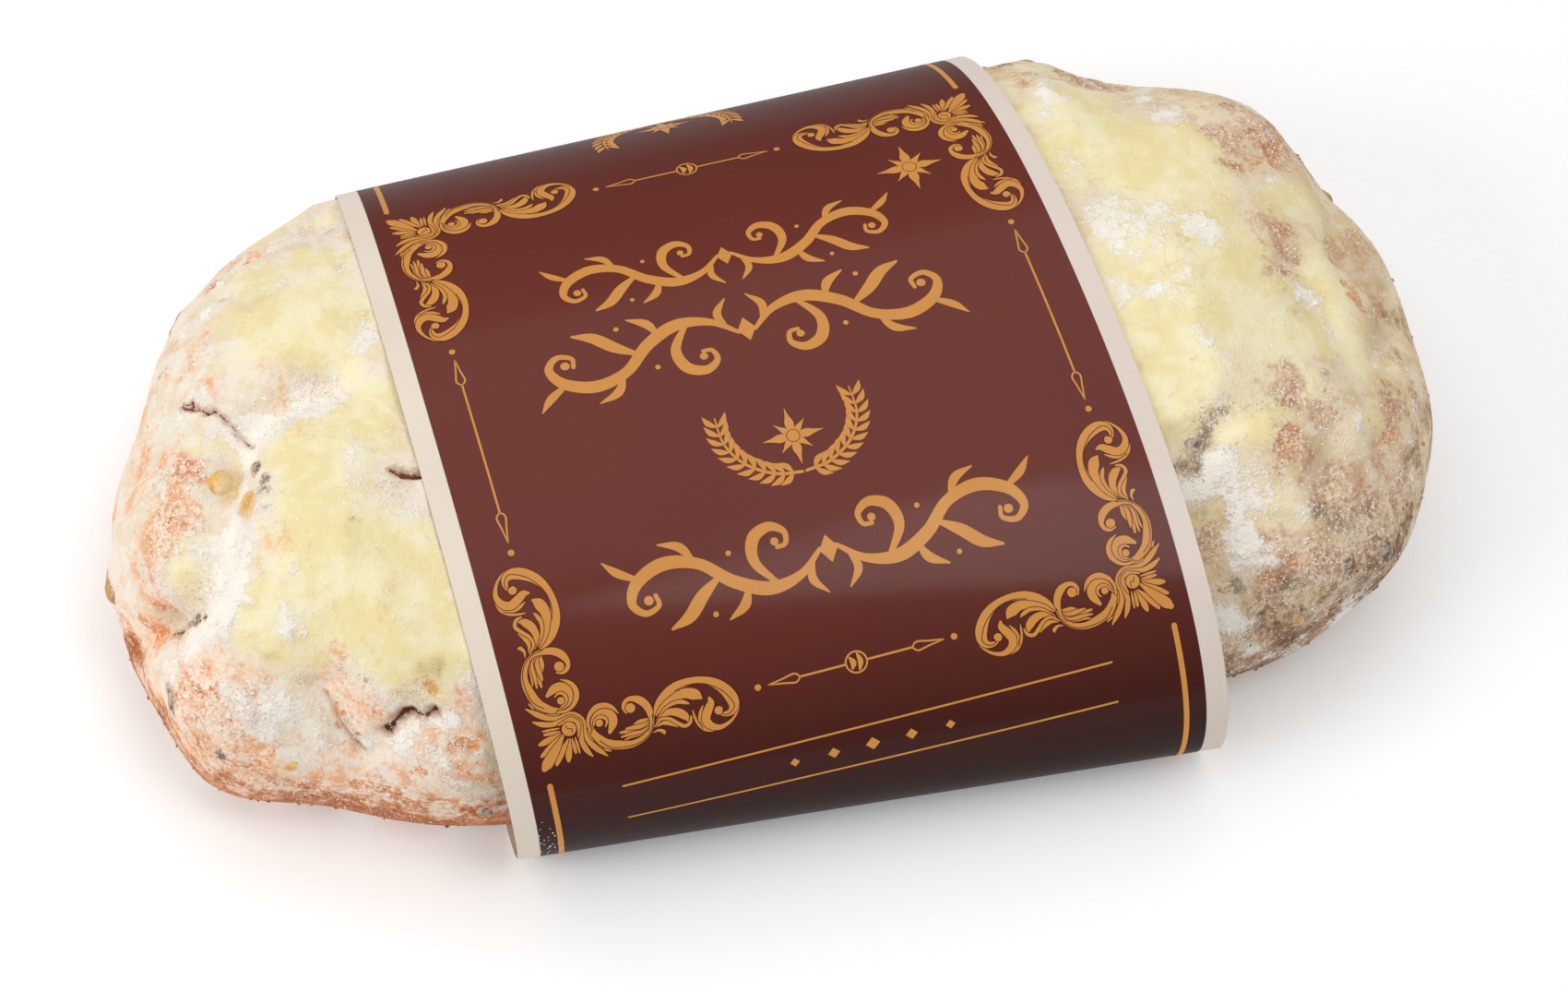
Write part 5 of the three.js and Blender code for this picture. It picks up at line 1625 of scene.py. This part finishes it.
def strew(tree, name, surface, mark, density, sizes, rounding, seed, material):
    """Density is in grains per square millimetre, sizes are half widths in millimetres."""
    bed = in_scene(name + " bed", surface.data.copy())
    modifier = bed.modifiers.new("strewing", "NODES")
    modifier.node_group = tree
    values = {"Mark": mark, "Density": density / MM ** 2, "Smallest": sizes[0] * MM,
              "Largest": sizes[1] * MM, "Rounding": rounding, "Seed": seed, "Material": material}
    for item in tree.interface.items_tree:
        if item.name in values:
            modifier[item.identifier] = values[item.name]
    view = bpy.context.evaluated_depsgraph_get()
    mesh = bpy.data.meshes.new_from_object(bed.evaluated_get(view))
    bpy.data.objects.remove(bed)
    mesh.name = name
    finished(name, mesh)


def sugar_material():
    def build(place):
        return {"Base Color": place.noise(3, 2).blend(colour(253, 249, 244), colour(244, 234, 220))}

    return new_material("loose sugar", build, Roughness=0.6)


def crumb_material():
    def build(place):
        tone = place.noise(1.6, 2).step(0.35, 0.65)
        return {"Base Color": tone.blend(colour(214, 166, 120), colour(150, 104, 70))}

    return new_material("crust crumb", build, Roughness=0.8)


def make_scatter(crust, paper):
    tree = strewing_tree()
    sugar = sugar_material()
    crumb = crumb_material()
    strew(tree, "sugar_grains", crust, "sugar", 0.75, (0.1, 0.26), 1, 5, sugar)
    strew(tree, "sugar_clumps", crust, "clumps", 0.09, (0.25, 0.7), 2, 6, sugar)
    strew(tree, "crust_crumbs", crust, "crumbs", 0.06, (0.2, 0.55), 2, 7, crumb)
    strew(tree, "spilt_sugar", paper, "sugar", 2.2, (0.07, 0.2), 1, 8, sugar)


# ---- floor, lights and camera
# Lights and floor are in metres, the camera's place is in millimetres.
FLOOR_REACH = 4.0
FLOOR_GLOW = 0.13
WORLD_STRENGTH = 0.3
# Place, width, depth and power. Each light faces the object.
LIGHTS = {
    "overhead softbox": ((0.0, 0.35, 1.0), 1.4, 1.0, 5.3),
    "small softbox": ((0.31, -0.34, 1.0), 0.36, 0.58, 2.65),
    "key from the left": ((-1.15, -0.12, 0.64), 0.7, 0.7, 6.6),
}
CAMERA_LENS = 66.577
CAMERA_PLACE = (-86.393, -267.784, 490.667)
# Which way the picture's right, its down and its depth point.
CAMERA_AXES = (
    (0.955532545, -0.294549974, 0.014066587),
    (-0.248538407, -0.830106630, -0.499150922),
    (0.158701659, 0.473458863, -0.866400882),
)


def make_floor():
    mesh = bpy.data.meshes.new("floor")
    corners = [(x * FLOOR_REACH, y * FLOOR_REACH, 0) for x, y in ((-1, -1), (1, -1), (1, 1), (-1, 1))]
    mesh.from_pydata(corners, [], [(0, 1, 2, 3)])
    mesh.materials.append(new_material(
        "white floor", lambda place: {"Base Color": (0.96, 0.96, 0.96, 1)}, Roughness=0.9,
        **{"Emission Color": (1, 1, 1, 1), "Emission Strength": FLOOR_GLOW}))
    in_scene("floor", mesh)


def add_softbox(name, place, width, depth, power):
    data = bpy.data.lights.new(name, "AREA")
    data.shape = "RECTANGLE"
    data.size = width
    data.size_y = depth
    data.energy = power
    light = in_scene(name, data)
    light.location = place
    light.rotation_euler = (-Vector(place)).to_track_quat("-Z", "Y").to_euler()


def make_stage():
    scene = bpy.context.scene
    scene.view_settings.view_transform = "Standard"
    make_floor()
    scene.world = bpy.data.worlds.new("studio")
    scene.world.use_nodes = True
    background = scene.world.node_tree.nodes["Background"].inputs
    background["Color"].default_value = (1, 1, 1, 1)
    background["Strength"].default_value = WORLD_STRENGTH
    for name, values in LIGHTS.items():
        add_softbox(name, *values)
    lens = bpy.data.cameras.new("camera")
    lens.lens = CAMERA_LENS
    lens.sensor_width = 36
    lens.clip_start = 0.01
    camera = in_scene("camera", lens)
    right, down, forward = (Vector(axis) for axis in CAMERA_AXES)
    turned = Matrix((right, -down, -forward)).transposed().to_4x4()
    camera.matrix_world = Matrix.Translation(Vector(CAMERA_PLACE) * MM) @ turned
    scene.camera = camera


make_stage()
crust = make_loaf()
paper = make_sleeve()
make_print()
make_fruit()
make_scatter(crust, paper)
